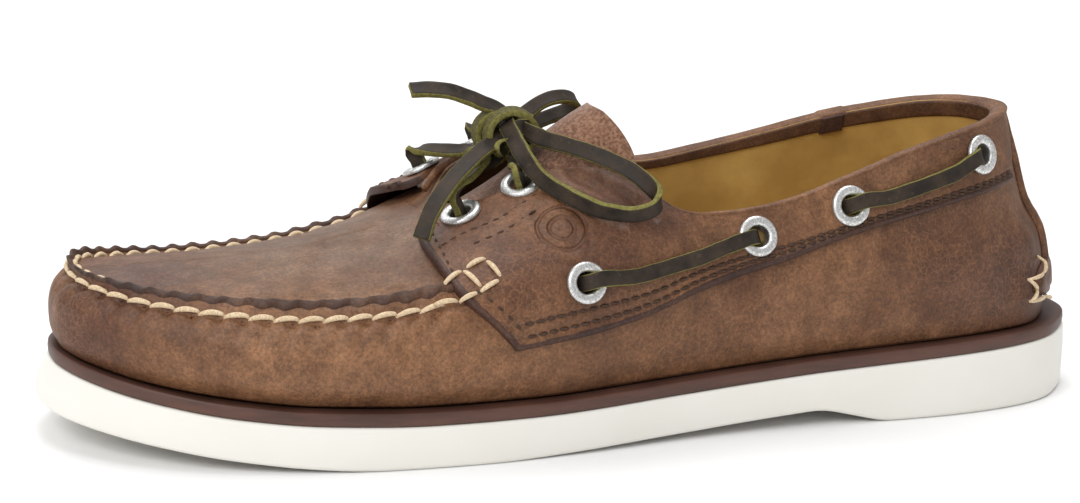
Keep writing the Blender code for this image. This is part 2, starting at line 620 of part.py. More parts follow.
def make_cord(name, route, step=3.2):
    """A round free stretch of lace on a smooth curve through its route's points."""
    dense = smooth_at(route, np.linspace(0, len(route) - 1, 400))
    run = np.concatenate([[0], np.cumsum(np.linalg.norm(np.diff(dense, axis=0), axis=1))])
    count = int(run[-1] / step) + 1
    even = np.linspace(0, run[-1], count + 1)
    points = np.stack([np.interp(even, run, dense[:, k]) for k in range(3)], 1)
    curve = bpy.data.curves.new(name, "CURVE")
    curve.dimensions = "3D"
    curve.bevel_depth = CORD_R * MM
    curve.bevel_resolution = 2
    curve.use_fill_caps = True
    line = curve.splines.new("POLY")
    line.points.add(len(points) - 1)
    for point, p in zip(line.points, points):
        point.co = (*(p * MM), 1)
    curve.materials.append(material("lace"))
    made = bpy.data.objects.new(name, curve)
    bpy.context.scene.collection.objects.link(made)


def main():
    for old in list(bpy.data.objects):
        bpy.data.objects.remove(old)
    make_sole()
    bodies = {"upper": make_upper()}
    bodies.update(make_bands())
    make_heel()
    make_tongue()
    frames = eyelet_frames()
    make_eyelets(frames, bodies)
    make_side_laces(frames)
    make_crossings(frames)
    make_knot()
    for name, route in {**LACE_ENDS, **LACE_LOOPS}.items():
        make_cord(name, route)


main()
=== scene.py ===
"""The looks of the boat shoe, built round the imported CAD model.

The toe points to -X, the heel to +X, the lateral side to -Y, and z = 0 is the floor. Sizes below
are in millimetres; mesh_piece turns them into metres.
"""

import math  # noqa: E402

import bmesh  # noqa: E402
import bpy  # noqa: E402
import numpy as np  # noqa: E402
from mathutils import Matrix, Vector  # noqa: E402


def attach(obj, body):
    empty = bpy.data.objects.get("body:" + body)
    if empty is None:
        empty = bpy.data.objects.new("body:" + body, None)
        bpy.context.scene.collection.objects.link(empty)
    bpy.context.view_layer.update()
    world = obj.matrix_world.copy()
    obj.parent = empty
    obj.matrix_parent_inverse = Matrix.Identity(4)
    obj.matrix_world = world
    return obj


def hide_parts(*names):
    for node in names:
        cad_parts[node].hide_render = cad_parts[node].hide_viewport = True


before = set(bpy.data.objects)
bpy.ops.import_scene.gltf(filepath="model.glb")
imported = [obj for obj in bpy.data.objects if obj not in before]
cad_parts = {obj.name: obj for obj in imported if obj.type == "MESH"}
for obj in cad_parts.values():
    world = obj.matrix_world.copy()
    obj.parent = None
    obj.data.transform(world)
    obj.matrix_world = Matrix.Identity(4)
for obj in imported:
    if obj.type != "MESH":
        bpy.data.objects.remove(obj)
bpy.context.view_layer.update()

MM = 0.001
FINE = 1.0  # mesh density

# Sizes that the CAD model has too
GAP = 0.3
SOLE_INSET, TOE_FLARE, MIDSOLE, INSOLE = 5.5, 2.6, 3.6, 3.0
WALL, OVERLAY, BAND_GAP = 1.9, 1.6, 0.5
EYELET_R, EYELET_HOLE_R, BARREL_R = 5.6, 2.9, 3.4
LACE_WIDE, LACE_THICK = 4.6, 1.8
NARROW_LACE = 4.2  # the lace's width where it is pulled tight
OUTLINE = [
    (-150, 0, 0), (-148.5, 10, 11), (-143, 20.5, 21), (-132, 31.5, 31.5), (-115, 42, 41.5),
    (-95, 48.5, 48), (-75, 51.5, 51.5), (-55, 52, 52), (-35, 51, 50), (-10, 47.6, 44),
    (20, 42, 38.5), (50, 38.6, 36.6), (75, 37, 36.6), (100, 35.4, 37.5), (120, 31.5, 36),
    (134, 25.5, 31), (143, 17, 23), (148.5, 8.5, 12.5), (150, 0, 0),
]
UNDERSIDE = [
    (-150, 8.9), (-130, 5.9), (-110, 3.3), (-92, 1.4), (-78, 0.3), (-70, 0), (-50, 0), (-35, 0),
    (-15, 0.7), (20, 2.2), (45, 3.8), (60, 4.7), (79, 0), (90, 0), (138, 0), (150, 0.8),
]
SOLE_TOP = [
    (-150, 21.1), (-130, 17), (-110, 14.3), (-90, 12.5), (-60, 11.3), (-20, 11.4), (20, 13),
    (60, 15.4), (100, 17.2), (150, 18.7),
]
# Ribs of the upper, from the toe to the heel: foot's x on the sole, bulge, shoulder, a point
# above it and the top edge.
LATERAL = [
    (-144.5, 3.2, (-140.5, 0, 44.6), (-140, 0, 44.4), (-139.5, 0, 44.3)),
    (-141, 3.4, (-137.8, -12, 44), (-137.6, -6, 44.4), (-137.5, 0, 44.6)),
    (-130, 4, (-129.5, -22.5, 43), (-129.2, -11, 44.4), (-129, 0, 44.8)),
    (-117, 4.6, (-118.5, -30, 42), (-118.2, -15, 44.4), (-118, 0, 45.2)),
    (-103, 5, (-105, -35.5, 41.2), (-105, -18, 44.6), (-105, 0, 45.6)),
    (-89, 5.2, (-90, -39, 40.6), (-90, -20, 45), (-90, 0, 46.8)),
    (-75, 5, (-75, -41.3, 41), (-75, -22, 46.6), (-75, 0, 49)),
    (-61, 4.6, (-60, -42.6, 42.6), (-60, -24, 49.2), (-60, 0, 52.4)),
    (-48, 4, (-48, -43, 45.4), (-47, -25, 53.2), (-46, 0, 56.6)),
    (-34, 3.6, (-34, -43, 48), (-33, -30, 57), (-33, -15, 62)),
    (-18, 3.2, (-17, -42, 51), (-16, -29.5, 63), (-14, -16.5, 69.5)),
    (-2, 3, (0, -40.5, 52), (2, -31.5, 62), (4, -22, 68)),
    (14, 2.6, (14, -38.5, 50), (15, -34.8, 56.5), (16, -31, 61)),
    (30, 2.4, (30, -36.5, 48), (30, -33.4, 54.5), (30, -30.5, 60)),
    (48, 2.4, (48, -35, 48), (48, -32.3, 56), (48, -29.8, 62.5)),
    (66, 2.4, (66, -34, 50), (66, -31.3, 59.5), (66, -28.5, 68.2)),
    (84, 2.4, (83.5, -32.2, 52), (83.5, -29, 63), (83.5, -25.8, 73.8)),
    (101, 2.2, (99, -29, 53.5), (98.5, -26, 66), (98, -23, 77.6)),
    (118, 1.8, (114, -23.5, 54.5), (112.5, -20.5, 68), (111.5, -17.5, 80)),
    (133, 1.2, (128, -13, 55), (124, -11.5, 69.5), (121, -9.5, 81.2)),
    (144.3, 0.6, (135.6, 2.5, 55), (130.6, 2.5, 69), (126, 2.5, 81.4)),
]
MEDIAL = [
    LATERAL[0],
    (-141, 3.4, (-137.8, 11, 44.4), (-137.6, 6, 44.5), (-137.5, 0, 44.6)),
    (-130, 4, (-129.5, 20, 42.4), (-129.2, 10, 44.2), (-129, 0, 44.8)),
    (-117, 4.6, (-118.5, 27, 40.6), (-118.2, 14, 43.8), (-118, 0, 45.2)),
    (-103, 5, (-105, 32, 39.4), (-105, 17, 43.6), (-105, 0, 45.6)),
    (-89, 5.2, (-90, 36, 39.2), (-90, 19, 44.4), (-90, 0, 46.8)),
    (-75, 5, (-75, 38.8, 40.2), (-75, 21, 46), (-75, 0, 49)),
    (-61, 4.6, (-60, 40.2, 43), (-60, 23, 49.4), (-60, 0, 52.4)),
    (-48, 4, (-48, 40.5, 47), (-47, 24, 54.4), (-46, 0, 56.6)),
    (-34, 3.4, (-34, 39.5, 50.5), (-33, 29, 59.6), (-33, 17, 65.2)),
    (-18, 3, (-17, 38, 53), (-16, 28.5, 64.8), (-14, 18, 71.2)),
    (-2, 2.6, (0, 36.5, 53), (2, 30.5, 63.4), (4, 23.5, 70)),
    (14, 2.4, (14, 35.2, 51), (15, 33.4, 58), (16, 31.5, 63.2)),
    (30, 2.2, (30, 34.4, 49), (30, 33.4, 56), (30, 32, 62.3)),
    (48, 2.2, (48, 34.2, 49), (48, 33.6, 58), (48, 32.3, 65.4)),
    (66, 2.2, (66, 34.2, 50.5), (66, 33.2, 60.5), (66, 31.6, 69.4)),
    (84, 2.2, (83.5, 33.8, 52), (83.5, 31.9, 63.5), (83.5, 29.6, 74)),
    (101, 2.2, (99, 32, 53.5), (98.5, 29.5, 66), (98, 27, 77)),
    (118, 1.8, (114, 27.5, 54.5), (112.5, 25, 68), (111.5, 22.5, 79.6)),
    (133, 1.2, (128, 18, 55), (124, 16.5, 69.5), (121, 14.5, 81)),
    LATERAL[20],
]
RIBS, THROAT_RIB = 20, 8
ROUND = 2 * RIBS
SHOULDER, TOP = 3, 5
BAND_LOW = [(-34, 29.7), (-10, 32.8), (10, 37.6), (37, 44.9), (65, 52.4), (94, 58.4), (122, 62.4)]
BAND_FRONT, BAND_BACK = 8.0, 19.2
# Rib places up the bands' front edges.
BAND_NOSE = {-1: [(8.12, 2.5), (7.68, 3.5), (7.6, 4.25), (8.1, 4.9)],
             1: [(8.12, 2.5), (7.75, 3.4), (7.75, 4.1), (8.4, 4.7)]}
THROAT_EYELETS = {
    "throat_front_lateral": (-39.5, -18.5), "throat_rear_lateral": (-23.5, -19),
    "throat_front_medial": (-37.5, 21.5), "throat_rear_medial": (-23, 21),
}
SIDE_EYELETS = {"side_1": (-14.6, 45.9), "side_2": (38, 53.4), "side_3": (66, 60.6),
                "side_4": (109, 71.6)}
KNOT = np.array((-22.0, 2.5, 79.0))

OUTLINE_STEPS = 360  # steps of the outline's curve along each side of the sole
SEAM_PITCH = 6.3  # one hand stitch of the moccasin seam
THREAD_R = 0.55


# ---------------------------------------------------------------- curves and surfaces

def catmull(a, b, c, d, f):
    return 0.5 * (2 * b + (c - a) * f + (2 * a - 5 * b + 4 * c - d) * f**2
                  + (3 * b - a - 3 * c + d) * f**3)


def smooth_at(points, t):
    """Points of a Catmull-Rom curve through rows of numbers, at places t (0, 1, 2... on the rows)."""
    rows = np.asarray(points, float)
    padded = np.vstack([2 * rows[0] - rows[1], rows, 2 * rows[-1] - rows[-2]])
    t = np.clip(np.atleast_1d(np.asarray(t, float)), 0, len(rows) - 1)
    i = np.minimum(t.astype(int), len(rows) - 2)
    return catmull(padded[i], padded[i + 1], padded[i + 2], padded[i + 3], (t - i)[:, None])


def unit(vectors):
    vectors = np.asarray(vectors, float)
    return vectors / np.maximum(np.linalg.norm(vectors, axis=-1, keepdims=True), 1e-12)


def even(points, count):
    """The polyline's points, spaced evenly along it."""
    points = np.asarray(points, float)
    run = np.concatenate([[0], np.cumsum(np.linalg.norm(np.diff(points, axis=0), axis=1))])
    at = np.linspace(0, run[-1], count)
    return np.stack([np.interp(at, run, column) for column in points.T], 1)


def profile(rows, x):
    xs, zs = zip(*rows)
    return np.interp(x, xs, zs)


def outline(side, inset=0.0, count=48):
    """One side of the sole's outline, toe to heel: side -1 is lateral, +1 is medial."""
    lateral = [(x, -y) for x, y, _ in OUTLINE]
    medial = [(x, y) for x, _, y in OUTLINE]
    ring = lateral + medial[-2:0:-1]
    dense = smooth_at([*ring[-2:], *ring, *ring[:3]],
                      np.linspace(2, len(ring) + 2, 2 * OUTLINE_STEPS + 1))
    along = np.roll(dense, -1, 0) - np.roll(dense, 1, 0)
    along[0] = along[-1] = dense[1] - dense[-2]
    moved = dense + unit(np.stack([-along[:, 1], along[:, 0]], 1)) * inset
    half = moved[:OUTLINE_STEPS + 1] if side < 0 else moved[OUTLINE_STEPS:][::-1]
    x0, x1 = half[0, 0], half[-1, 0]
    x = (x0 + x1) / 2 - (x1 - x0) / 2 * np.cos(np.linspace(0, math.pi, count + 1))
    order = np.argsort(half[:, 0])
    return np.stack([x, np.interp(x, half[order, 0], half[order, 1])], 1)


def foot(side, x):
    line = outline(side, SOLE_INSET, 120)
    y = np.interp(x, line[:, 0], line[:, 1])
    i = int(np.clip(np.searchsorted(line[:, 0], x), 1, len(line) - 2))
    along = line[i + 1] - line[i - 1]
    out = unit(np.array([along[1], -along[0], 0]) * (1 if side < 0 else -1))
    return np.array([x, y, profile(SOLE_TOP, x) + MIDSOLE + 2 * GAP]), out


def rib_points(side, row):
    x, bulge, shoulder, above, top = row
    base, out = foot(side, x)
    if abs(shoulder[1]) < 3:
        out = np.array([math.copysign(1, x), 0, 0])
        base[1] = shoulder[1]
    shoulder = np.array(shoulder, float)
    low = base + (shoulder - base) * (0.10, 0.10, 0.27) + out * bulge * 0.8
    high = base + (shoulder - base) * (0.42, 0.42, 0.70) + out * bulge
    return np.array([base, low, high, shoulder, above, top], float)


NET = np.array([rib_points(-1, row) for row in LATERAL]
               + [rib_points(1, row) for row in MEDIAL][-2:0:-1])
RING = np.concatenate([NET[-2:], NET, NET[:3]]).reshape(ROUND + 5, -1)


def near_toe(u):
    """Ribs from the toe, round either side."""
    u = np.asarray(u, float) % ROUND
    return np.minimum(u, ROUND - u)


def bare(u, v):
    """Points of the upper's outside at rib places u and places v up the ribs."""
    u, v = np.broadcast_arrays(np.asarray(u, float) % ROUND, np.asarray(v, float))
    shape, u, v = u.shape, u.ravel(), np.clip(v.ravel(), 0, TOP)
    rows = smooth_at(RING, u + 2).reshape(-1, 6, 3)
    across = smooth_at(RING, (ROUND - u) % ROUND + 2).reshape(-1, 6, 3)
    plug = near_toe(u) <= THROAT_RIB
    rows[plug, TOP, 1] = 0
    before = 2 * rows[:, 0] - rows[:, 1]
    after = np.where(plug[:, None], across[:, 4], 2 * rows[:, 5] - rows[:, 4])
    padded = np.concatenate([before[:, None], rows, after[:, None]], 1)
    k = np.minimum(v.astype(int), TOP - 1)
    n = np.arange(len(u))
    return catmull(*(padded[n, k + m] for m in range(4)), (v - k)[:, None]).reshape(*shape, 3)


def outward(u, v):
    u, v = np.broadcast_arrays(np.asarray(u, float), np.asarray(v, float))
    v = np.clip(v, 0, TOP - 0.001)
    step = 0.02
    along = bare(u + step, v) - bare(u - step, v)
    up = bare(u, np.minimum(v + step, TOP)) - bare(u, np.maximum(v - step, 0))
    return unit(np.cross(along, up))


SEAM_U = np.linspace(0, ROUND, 2001)
SEAM_RUN = np.concatenate([[0], np.cumsum(np.linalg.norm(np.diff(bare(SEAM_U, SHOULDER), axis=0),
                                                        axis=1))])


def seam_run(u):
    """Millimetres round the shoulder line from the toe."""
    return np.interp(np.asarray(u, float) % ROUND, SEAM_U, SEAM_RUN)


def waves(u, v, size, seed, octaves=3):
    """Smooth uneven heights between about -1 and 1, for hide that isn't flat; size in mm."""
    draw = np.random.default_rng(seed)
    s, h = seam_run(u), np.asarray(v, float) * 13
    total = np.zeros(np.broadcast(s, h).shape)
    for octave in range(octaves):
        for _ in range(5):
            angle, phase, other = draw.uniform(0, math.tau, 3)
            pace = math.tau / size * 2**octave * draw.uniform(0.6, 1.2)
            total += (np.sin(s * pace * math.cos(angle) + phase)
                      * np.sin(h * pace * math.sin(angle) + other)) / 2**octave
    return total / 4.5


# Creases of the hide: ends and middle as rib place and place up the rib, depth and half width.
CREASES = [
    ([(7.9, 2.75), (7.2, 2.3), (6.9, 1.8)], 0.35, 2.2),
    ([(8.9, 2.1), (8.5, 1.5), (8.6, 0.9)], 0.3, 2.5),
    ([(3.2, 1.9), (3.9, 1.55), (4.7, 1.4)], 0.25, 2.6),
    ([(6.0, 1.3), (7.0, 1.05), (8.2, 1.0)], 0.3, 3.0),
    ([(11.5, 1.9), (12.4, 1.5), (13.6, 1.45)], 0.35, 3.2),
    ([(15.2, 2.2), (15.9, 1.7), (16.1, 1.1)], 0.3, 3.0),
    ([(17.4, 2.4), (17.9, 1.9), (18.1, 1.2)], 0.35, 2.8),
    ([(18.8, 2.9), (19.1, 2.2), (19.0, 1.4)], 0.25, 2.2),
    ([(7.4, 4.7), (7.1, 4.2), (7.3, 3.6)], 0.3, 3.0),
    ([(6.1, 4.9), (5.8, 4.3), (6.1, 3.8)], 0.25, 2.8),
    ([(33.5, 4.6), (33.9, 4.0), (33.8, 3.6)], 0.3, 2.8),
    ([(24.5, 2.2), (25.6, 1.7), (26.8, 1.6)], 0.3, 3.0),
    ([(29.2, 2.1), (30.1, 1.6), (31.0, 1.5)], 0.35, 3.0),
    ([(21.2, 2.5), (21.6, 1.8), (21.4, 1.2)], 0.3, 2.6),
]


def crease_height(u, v):
    total = np.zeros(np.broadcast(u, v).shape)
    here = np.stack(np.broadcast_arrays(seam_run(u), np.asarray(v, float) * 13), -1)
    for places, depth, wide in CREASES:
        line = smooth_at([(seam_run(a), b * 13) for a, b in places], np.linspace(0, 2, 15))
        gap = np.full(total.shape, 1e9)
        for a, b in zip(line, line[1:]):
            t = np.clip(((here - a) @ (b - a)) / ((b - a) @ (b - a)), 0, 1)
            gap = np.minimum(gap, np.linalg.norm(here - a - t[..., None] * (b - a), axis=-1))
        total += depth * (0.5 * np.exp(-((gap - 1.7 * wide) / wide) ** 2)
                          - np.exp(-(gap / wide) ** 2))
    return total


def relief(u, v):
    """Height over the bare upper: the moccasin seam's bead with its gathers, and uneven hide."""
    u, v = np.broadcast_arrays(np.asarray(u, float), np.asarray(v, float))
    near = near_toe(u)
    fade = np.clip((THROAT_RIB + 0.1 - near) / 0.5, 0, 1)
    s = seam_run(u)
    side = np.where(u % ROUND < RIBS, 1, -1)
    turn = math.tau * (s / SEAM_PITCH)
    d = (v - SHOULDER) * 12.0
    pinch = 0.5 + 0.5 * np.cos(turn)
    lean = 0.5 + 0.5 * np.cos(turn - side * 0.35 * d)
    bead = (1.3 + 0.30 * pinch) * np.exp(-(d / 2.7) ** 2)
    groove = -0.55 * np.exp(-((d - 3.9) / 1.1) ** 2) - 0.35 * np.exp(-((d + 4.2) / 1.3) ** 2)
    gather = -0.75 * lean**2 * np.exp(-((d + 4.6) / 2.6) ** 2)
    gather += -0.30 * lean**2 * np.exp(-((d + 9.5) / 4.5) ** 2)
    gather += -0.28 * lean**2 * np.exp(-((d - 4.4) / 2.2) ** 2)
    calm = np.clip((v - 0.05) / 0.5, 0, 1)
    hide = 0.22 * waves(u, v, 38, 3) + 0.05 * waves(u, v, 9, 5)
    return (bead + groove + gather) * fade + (hide + crease_height(u, v)) * calm


def on_upper(u, v, offset=0.0, uneven=True):
    height = relief(u, v) if uneven else 0.0
    return bare(u, v) + outward(u, v) * (np.asarray(offset, float) + height)[..., None]


def place_at(side, x, other, axis=2):
    """The rib place and the place along it where the upper has this x and this y or height."""
    u, v = 10 + x / 16, 2.0 if axis == 2 else 4.2
    if side > 0:
        u = ROUND - u
    for _ in range(24):
        top = min(v + 0.05, TOP)
        here, ahead, above, below = bare([u, u + 0.05, u, u], [v, v, top, top - 0.05])
        du, dv = (ahead - here) / 0.05, (above - below) / 0.05
        wrong = np.array([x - here[0], other - here[axis]])
        turn = np.linalg.lstsq(np.array([[du[0], dv[0]], [du[axis], dv[axis]]]), wrong,
                               rcond=None)[0]
        u += float(np.clip(turn[0], -1, 1))
        v = float(np.clip(v + np.clip(turn[1], -0.6, 0.6), 0.05, 4.95))
    return u, v


# ---------------------------------------------------------------- the collar bands

def flap_lift(side, u):
    return (0.5 if side < 0 else 3.0) * np.exp(-((np.maximum(near_toe(u) - THROAT_RIB, 0) / 0.9)
                                                ** 2))


def band_uv(side):
    """A function from the band's own places i (front to back) and j (up) to rib places."""
    low = np.array([place_at(side, x, z) for x, z in BAND_LOW])
    if side > 0:
        low[:, 0] = ROUND - low[:, 0]
    high = np.array([(t, 4.97) for t in np.linspace(BAND_FRONT, BAND_BACK, len(low))])
    edges = [low + (high - low) * share for share in (0, 0.25, 0.5, 0.75, 1)]
    for edge, corner in zip(edges[1:], BAND_NOSE[side]):
        edge[0] = corner

    def place(i, j):
        i, j = np.broadcast_arrays(np.asarray(i, float), np.asarray(j, float))
        rows = [smooth_at(edge, i.ravel() * (len(low) - 1)) for edge in edges]
        rows = np.stack([2 * rows[0] - rows[1], *rows, 2 * rows[-1] - rows[-2]], 1)
        t = (len(edges) - 1) * np.clip(j.ravel(), 0, 1)
        k, n = np.minimum(t.astype(int), len(edges) - 2), np.arange(len(t))
        uv = catmull(*(rows[n, k + m] for m in range(4)), (t - k)[:, None])
        u, v = uv[:, 0].reshape(i.shape), uv[:, 1].reshape(i.shape)
        return (u if side < 0 else ROUND - u), v
    return place


BAND_UV = {side: band_uv(side) for side in (-1, 1)}


def on_band(side, u, v, offset=0.0, uneven=True):
    lift = flap_lift(side, u) * np.clip((v - SHOULDER) / 0.8, 0, 1)
    height = (0.16 * waves(u, v, 30, 11) + 0.05 * waves(u, v, 8, 12)) if uneven else 0.0
    return bare(u, v) + outward(u, v) * (np.asarray(offset, float) + lift + height)[..., None]


def basis(axis, along=(1, 0, 0)):
    axis = unit(axis)
    side = unit(np.asarray(along, float) - axis * np.dot(along, axis))
    return side, np.cross(axis, side), axis


def eyelet_frames():
    places = {}
    for side, word in ((-1, "lateral"), (1, "medial")):
        for name, (x, z) in SIDE_EYELETS.items():
            places[f"{name}_{word}"] = (side, place_at(side, x, z))
        for name, (x, y) in THROAT_EYELETS.items():
            if name.endswith(word):
                places[name] = (side, place_at(side, x, y, axis=1))
    frames, rise, reach = {}, BAND_GAP + OVERLAY, 0.2
    for name, (side, (u, v)) in places.items():
        at, ahead, behind, above, below = (
            on_band(side, np.array(u + a), np.array(v + b), rise, uneven=False)
            for a, b in ((0, 0), (reach, 0), (-reach, 0), (0, reach), (0, -reach)))
        frames[name] = (at, basis(np.cross(ahead - behind, above - below))[2], side)
    return frames


EYELETS = eyelet_frames()


# ---------------------------------------------------------------- meshes

def grid_faces(rows, columns, start=0, closed=False):
    wide = columns if closed else columns - 1
    r, c = np.meshgrid(np.arange(rows - 1), np.arange(wide), indexing="ij")
    a, b = start + r * columns + c, start + r * columns + (c + 1) % columns
    return np.stack([a, b, b + columns, a + columns], -1).reshape(-1, 4)


def mesh_piece(name, points, faces, finish, slot, swap=(), marks=None):
    """A shown piece of the shoe. marks holds a material index for each face."""
    mesh = bpy.data.meshes.new(name)
    points = np.asarray(points, float).reshape(-1, 3) * MM
    faces = [tuple(int(k) for k in f) for f in faces]
    mesh.from_pydata(points.tolist(), [], faces)
    for each in finish if isinstance(finish, (list, tuple)) else [finish]:
        mesh.materials.append(each)
    if marks is not None:
        mesh.polygons.foreach_set("material_index", np.asarray(marks, np.int32))
    mesh.validate()
    mesh.update()
    made = bpy.data.objects.new(name, mesh)
    bpy.context.scene.collection.objects.link(made)
    mesh.shade_smooth()
    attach(made, "root")
    if swap:
        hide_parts(*swap)
    return made


def weld(made, within=0.00002):
    """Merges the piece's points that coincide and turns its faces outward."""
    work = bmesh.new()
    work.from_mesh(made.data)
    bmesh.ops.remove_doubles(work, verts=work.verts, dist=within)
    bmesh.ops.recalc_face_normals(work, faces=work.faces)
    work.to_mesh(made.data)
    work.free()
    made.data.shade_smooth()


def turned_out(points, faces):
    """The closed mesh's faces, all turned round if they point inward."""
    points = np.asarray(points, float).reshape(-1, 3)
    a, b, c = (points[[f[k] for f in faces]] for k in range(3))
    volume = np.einsum("ij,ij->i", a - points.mean(0), np.cross(b - points.mean(0),
                                                               c - points.mean(0))).sum()
    return [tuple(f)[::-1] for f in faces] if volume < 0 else [tuple(f) for f in faces]


def two_skins(outer, inner, closed=False):
    """Points and faces of a closed sheet between two equal grids of points."""
    rows, columns = outer.shape[:2]
    size = rows * columns
    top = grid_faces(rows, columns, 0, closed)
    faces = [*map(tuple, top), *(tuple(f[::-1]) for f in top + size)]
    wide = columns if closed else columns - 1
    for r, flip in ((0, 1), (rows - 1, -1)):
        for c in range(wide):
            a, b = r * columns + c, r * columns + (c + 1) % columns
            faces.append((b, a, size + a, size + b)[::flip])
    if not closed:
        for c, flip in ((0, -1), (columns - 1, 1)):
            for r in range(rows - 1):
                a, b = r * columns + c, (r + 1) * columns + c
                faces.append((b, a, size + a, size + b)[::flip])
    points = np.concatenate([outer.reshape(-1, 3), inner.reshape(-1, 3)])
    return points, turned_out(points, faces)


def tube(rings):
    """Points and faces of a tube through rings of points, with its ends closed."""
    rings = np.asarray(rings, float)
    count, size = rings.shape[:2]
    faces = [tuple(f) for f in grid_faces(count, size, closed=True)]
    last = (count - 1) * size
    faces += [tuple(range(size))[::-1], tuple(range(last, last + size))]
    points = rings.reshape(-1, 3)
    return points, turned_out(points, faces)


def joined(parts):
    """Several (points, faces) as one."""
    points, faces, start = [], [], 0
    for p, f in parts:
        points.append(np.asarray(p, float).reshape(-1, 3))
        faces += [tuple(k + start for k in face) for face in f]
        start += len(points[-1])
    return np.concatenate(points), faces


def skin_piece(name, outer, inner, finish, slot, swap=(), closed=False, **how):
    """A shown piece between two equal grids of points."""
    points, faces = two_skins(outer, inner, closed)
    made = mesh_piece(name, points, faces, finish, slot, swap, **how)
    weld(made)
    return made


def stitch_piece(name, parts, finish, slot="upper_leather"):
    mesh_piece(name, *joined(parts), finish, slot)


def frames_along(path, widths):
    """Unit vectors along, across and out of a strap."""
    along = unit(np.gradient(np.asarray(path, float), axis=0))
    widths = np.asarray(widths, float)
    across = unit(widths - along * np.einsum("ij,ij->i", widths, along)[:, None])
    return along, across, np.cross(along, across)


STRAP_SECTION = [(-0.5, -0.36), (-0.46, -0.5), (-0.3, -0.5), (-0.1, -0.5), (0.1, -0.5), (0.3, -0.5),
                 (0.46, -0.5), (0.5, -0.36), (0.5, 0.36), (0.46, 0.5), (0.3, 0.5), (0.1, 0.5),
                 (-0.1, 0.5), (-0.3, 0.5), (-0.46, 0.5), (-0.5, 0.36)]
# Which finish each side of the section has: 0 grain face, 1 cut edge, 2 flesh face.
STRAP_MARKS = [1, 2, 2, 2, 2, 2, 1, 1, 1, 0, 0, 0, 0, 0, 1, 1]


def strap(path, widths, wide=LACE_WIDE, thick=LACE_THICK, step=0.55, seed=0):
    """A flat rawhide lace along a given route. widths holds the direction of its width at each
    route point. Gives points, faces and marks."""
    path, widths = np.asarray(path, float), np.asarray(widths, float)
    t = np.linspace(0, len(path) - 1, 400)
    dense, turned = smooth_at(path, t), smooth_at(widths, t)
    run = np.concatenate([[0], np.cumsum(np.linalg.norm(np.diff(dense, axis=0), axis=1))])
    count = max(int(run[-1] / step * FINE), 8)
    at = np.linspace(0, run[-1], count)
    line = np.stack([np.interp(at, run, dense[:, k]) for k in range(3)], 1)
    turned = np.stack([np.interp(at, run, turned[:, k]) for k in range(3)], 1)
    _, across, out = frames_along(line, turned)
    draw = np.random.default_rng(seed)
    rough = [sum(np.sin(at / s + draw.uniform(0, 6.28)) for s in (1.1, 2.3, 5.1)) for _ in range(3)]
    section = np.array(STRAP_SECTION)
    rings = []
    for k in range(count):
        w = wide * (1 + 0.018 * rough[0][k])
        h = thick * (1 + 0.035 * rough[1][k])
        dip = 0.10 * thick * (1 - 4 * section[:, 0] ** 2) * np.sign(section[:, 1])
        rings.append(line[k] + section[:, :1] * w * across[k]
                     + (section[:, 1:] * h - dip[:, None] + 0.03 * rough[2][k]) * out[k])
    size = len(section)
    faces = [tuple(f) for f in grid_faces(count, size, closed=True)]
    marks = STRAP_MARKS * (count - 1) + [1, 1]
    last = (count - 1) * size
    faces += [tuple(range(size))[::-1], tuple(range(last, last + size))]
    points = np.concatenate(rings)
    return points, turned_out(points, faces), marks, line


def stitch(start, end, out, radius=THREAD_R, rise=0.35, sink=0.5):
    """One thread stitch: a plump tube that comes out of the leather, lies on it and goes back in."""
    start, end, out = (np.asarray(p, float) for p in (start, end, out))
    t = np.linspace(0, 1, 9)
    arch = np.sin(math.pi * t) ** 0.5
    path = start + (end - start) * t[:, None] + out * (rise * arch - sink * (1 - arch))[:, None]
    _, across, up = frames_along(path, np.tile(np.cross(end - start, out), (len(t), 1)))
    plump = radius * (0.62 + 0.38 * np.sin(math.pi * t))
    angles = np.linspace(0, math.tau, 8, endpoint=False)
    rings = [p + r * (np.cos(angles)[:, None] * a + np.sin(angles)[:, None] * b)
             for p, r, a, b in zip(path, plump, across, up)]
    return tube(rings)


def stitch_row(surface, pitch, length, radius=THREAD_R, skew=0.0, rise=0.3, sink=0.5):
    """Stitches along a row: surface(t) gives points, outward vectors at places t from 0 to 1."""
    t = np.linspace(0, 1, 400)
    points, out = surface(t)
    along = np.concatenate([[0], np.cumsum(np.linalg.norm(np.diff(points, axis=0), axis=1))])
    count = max(int(along[-1] / pitch), 1)
    pitch = along[-1] / count
    parts = []
    for k in range(count):
        a, b = (k + 0.5) * pitch - length / 2, (k + 0.5) * pitch + length / 2
        ends = [np.array([np.interp(x, along, points[:, c]) for c in range(3)]) for x in (a, b)]
        up = unit([np.interp((a + b) / 2, along, out[:, c]) for c in range(3)])
        side = unit(np.cross(ends[1] - ends[0], up)) * skew
        parts.append(stitch(ends[0] - side, ends[1] + side, up, radius, rise, sink))
    return parts


# ---------------------------------------------------------------- materials

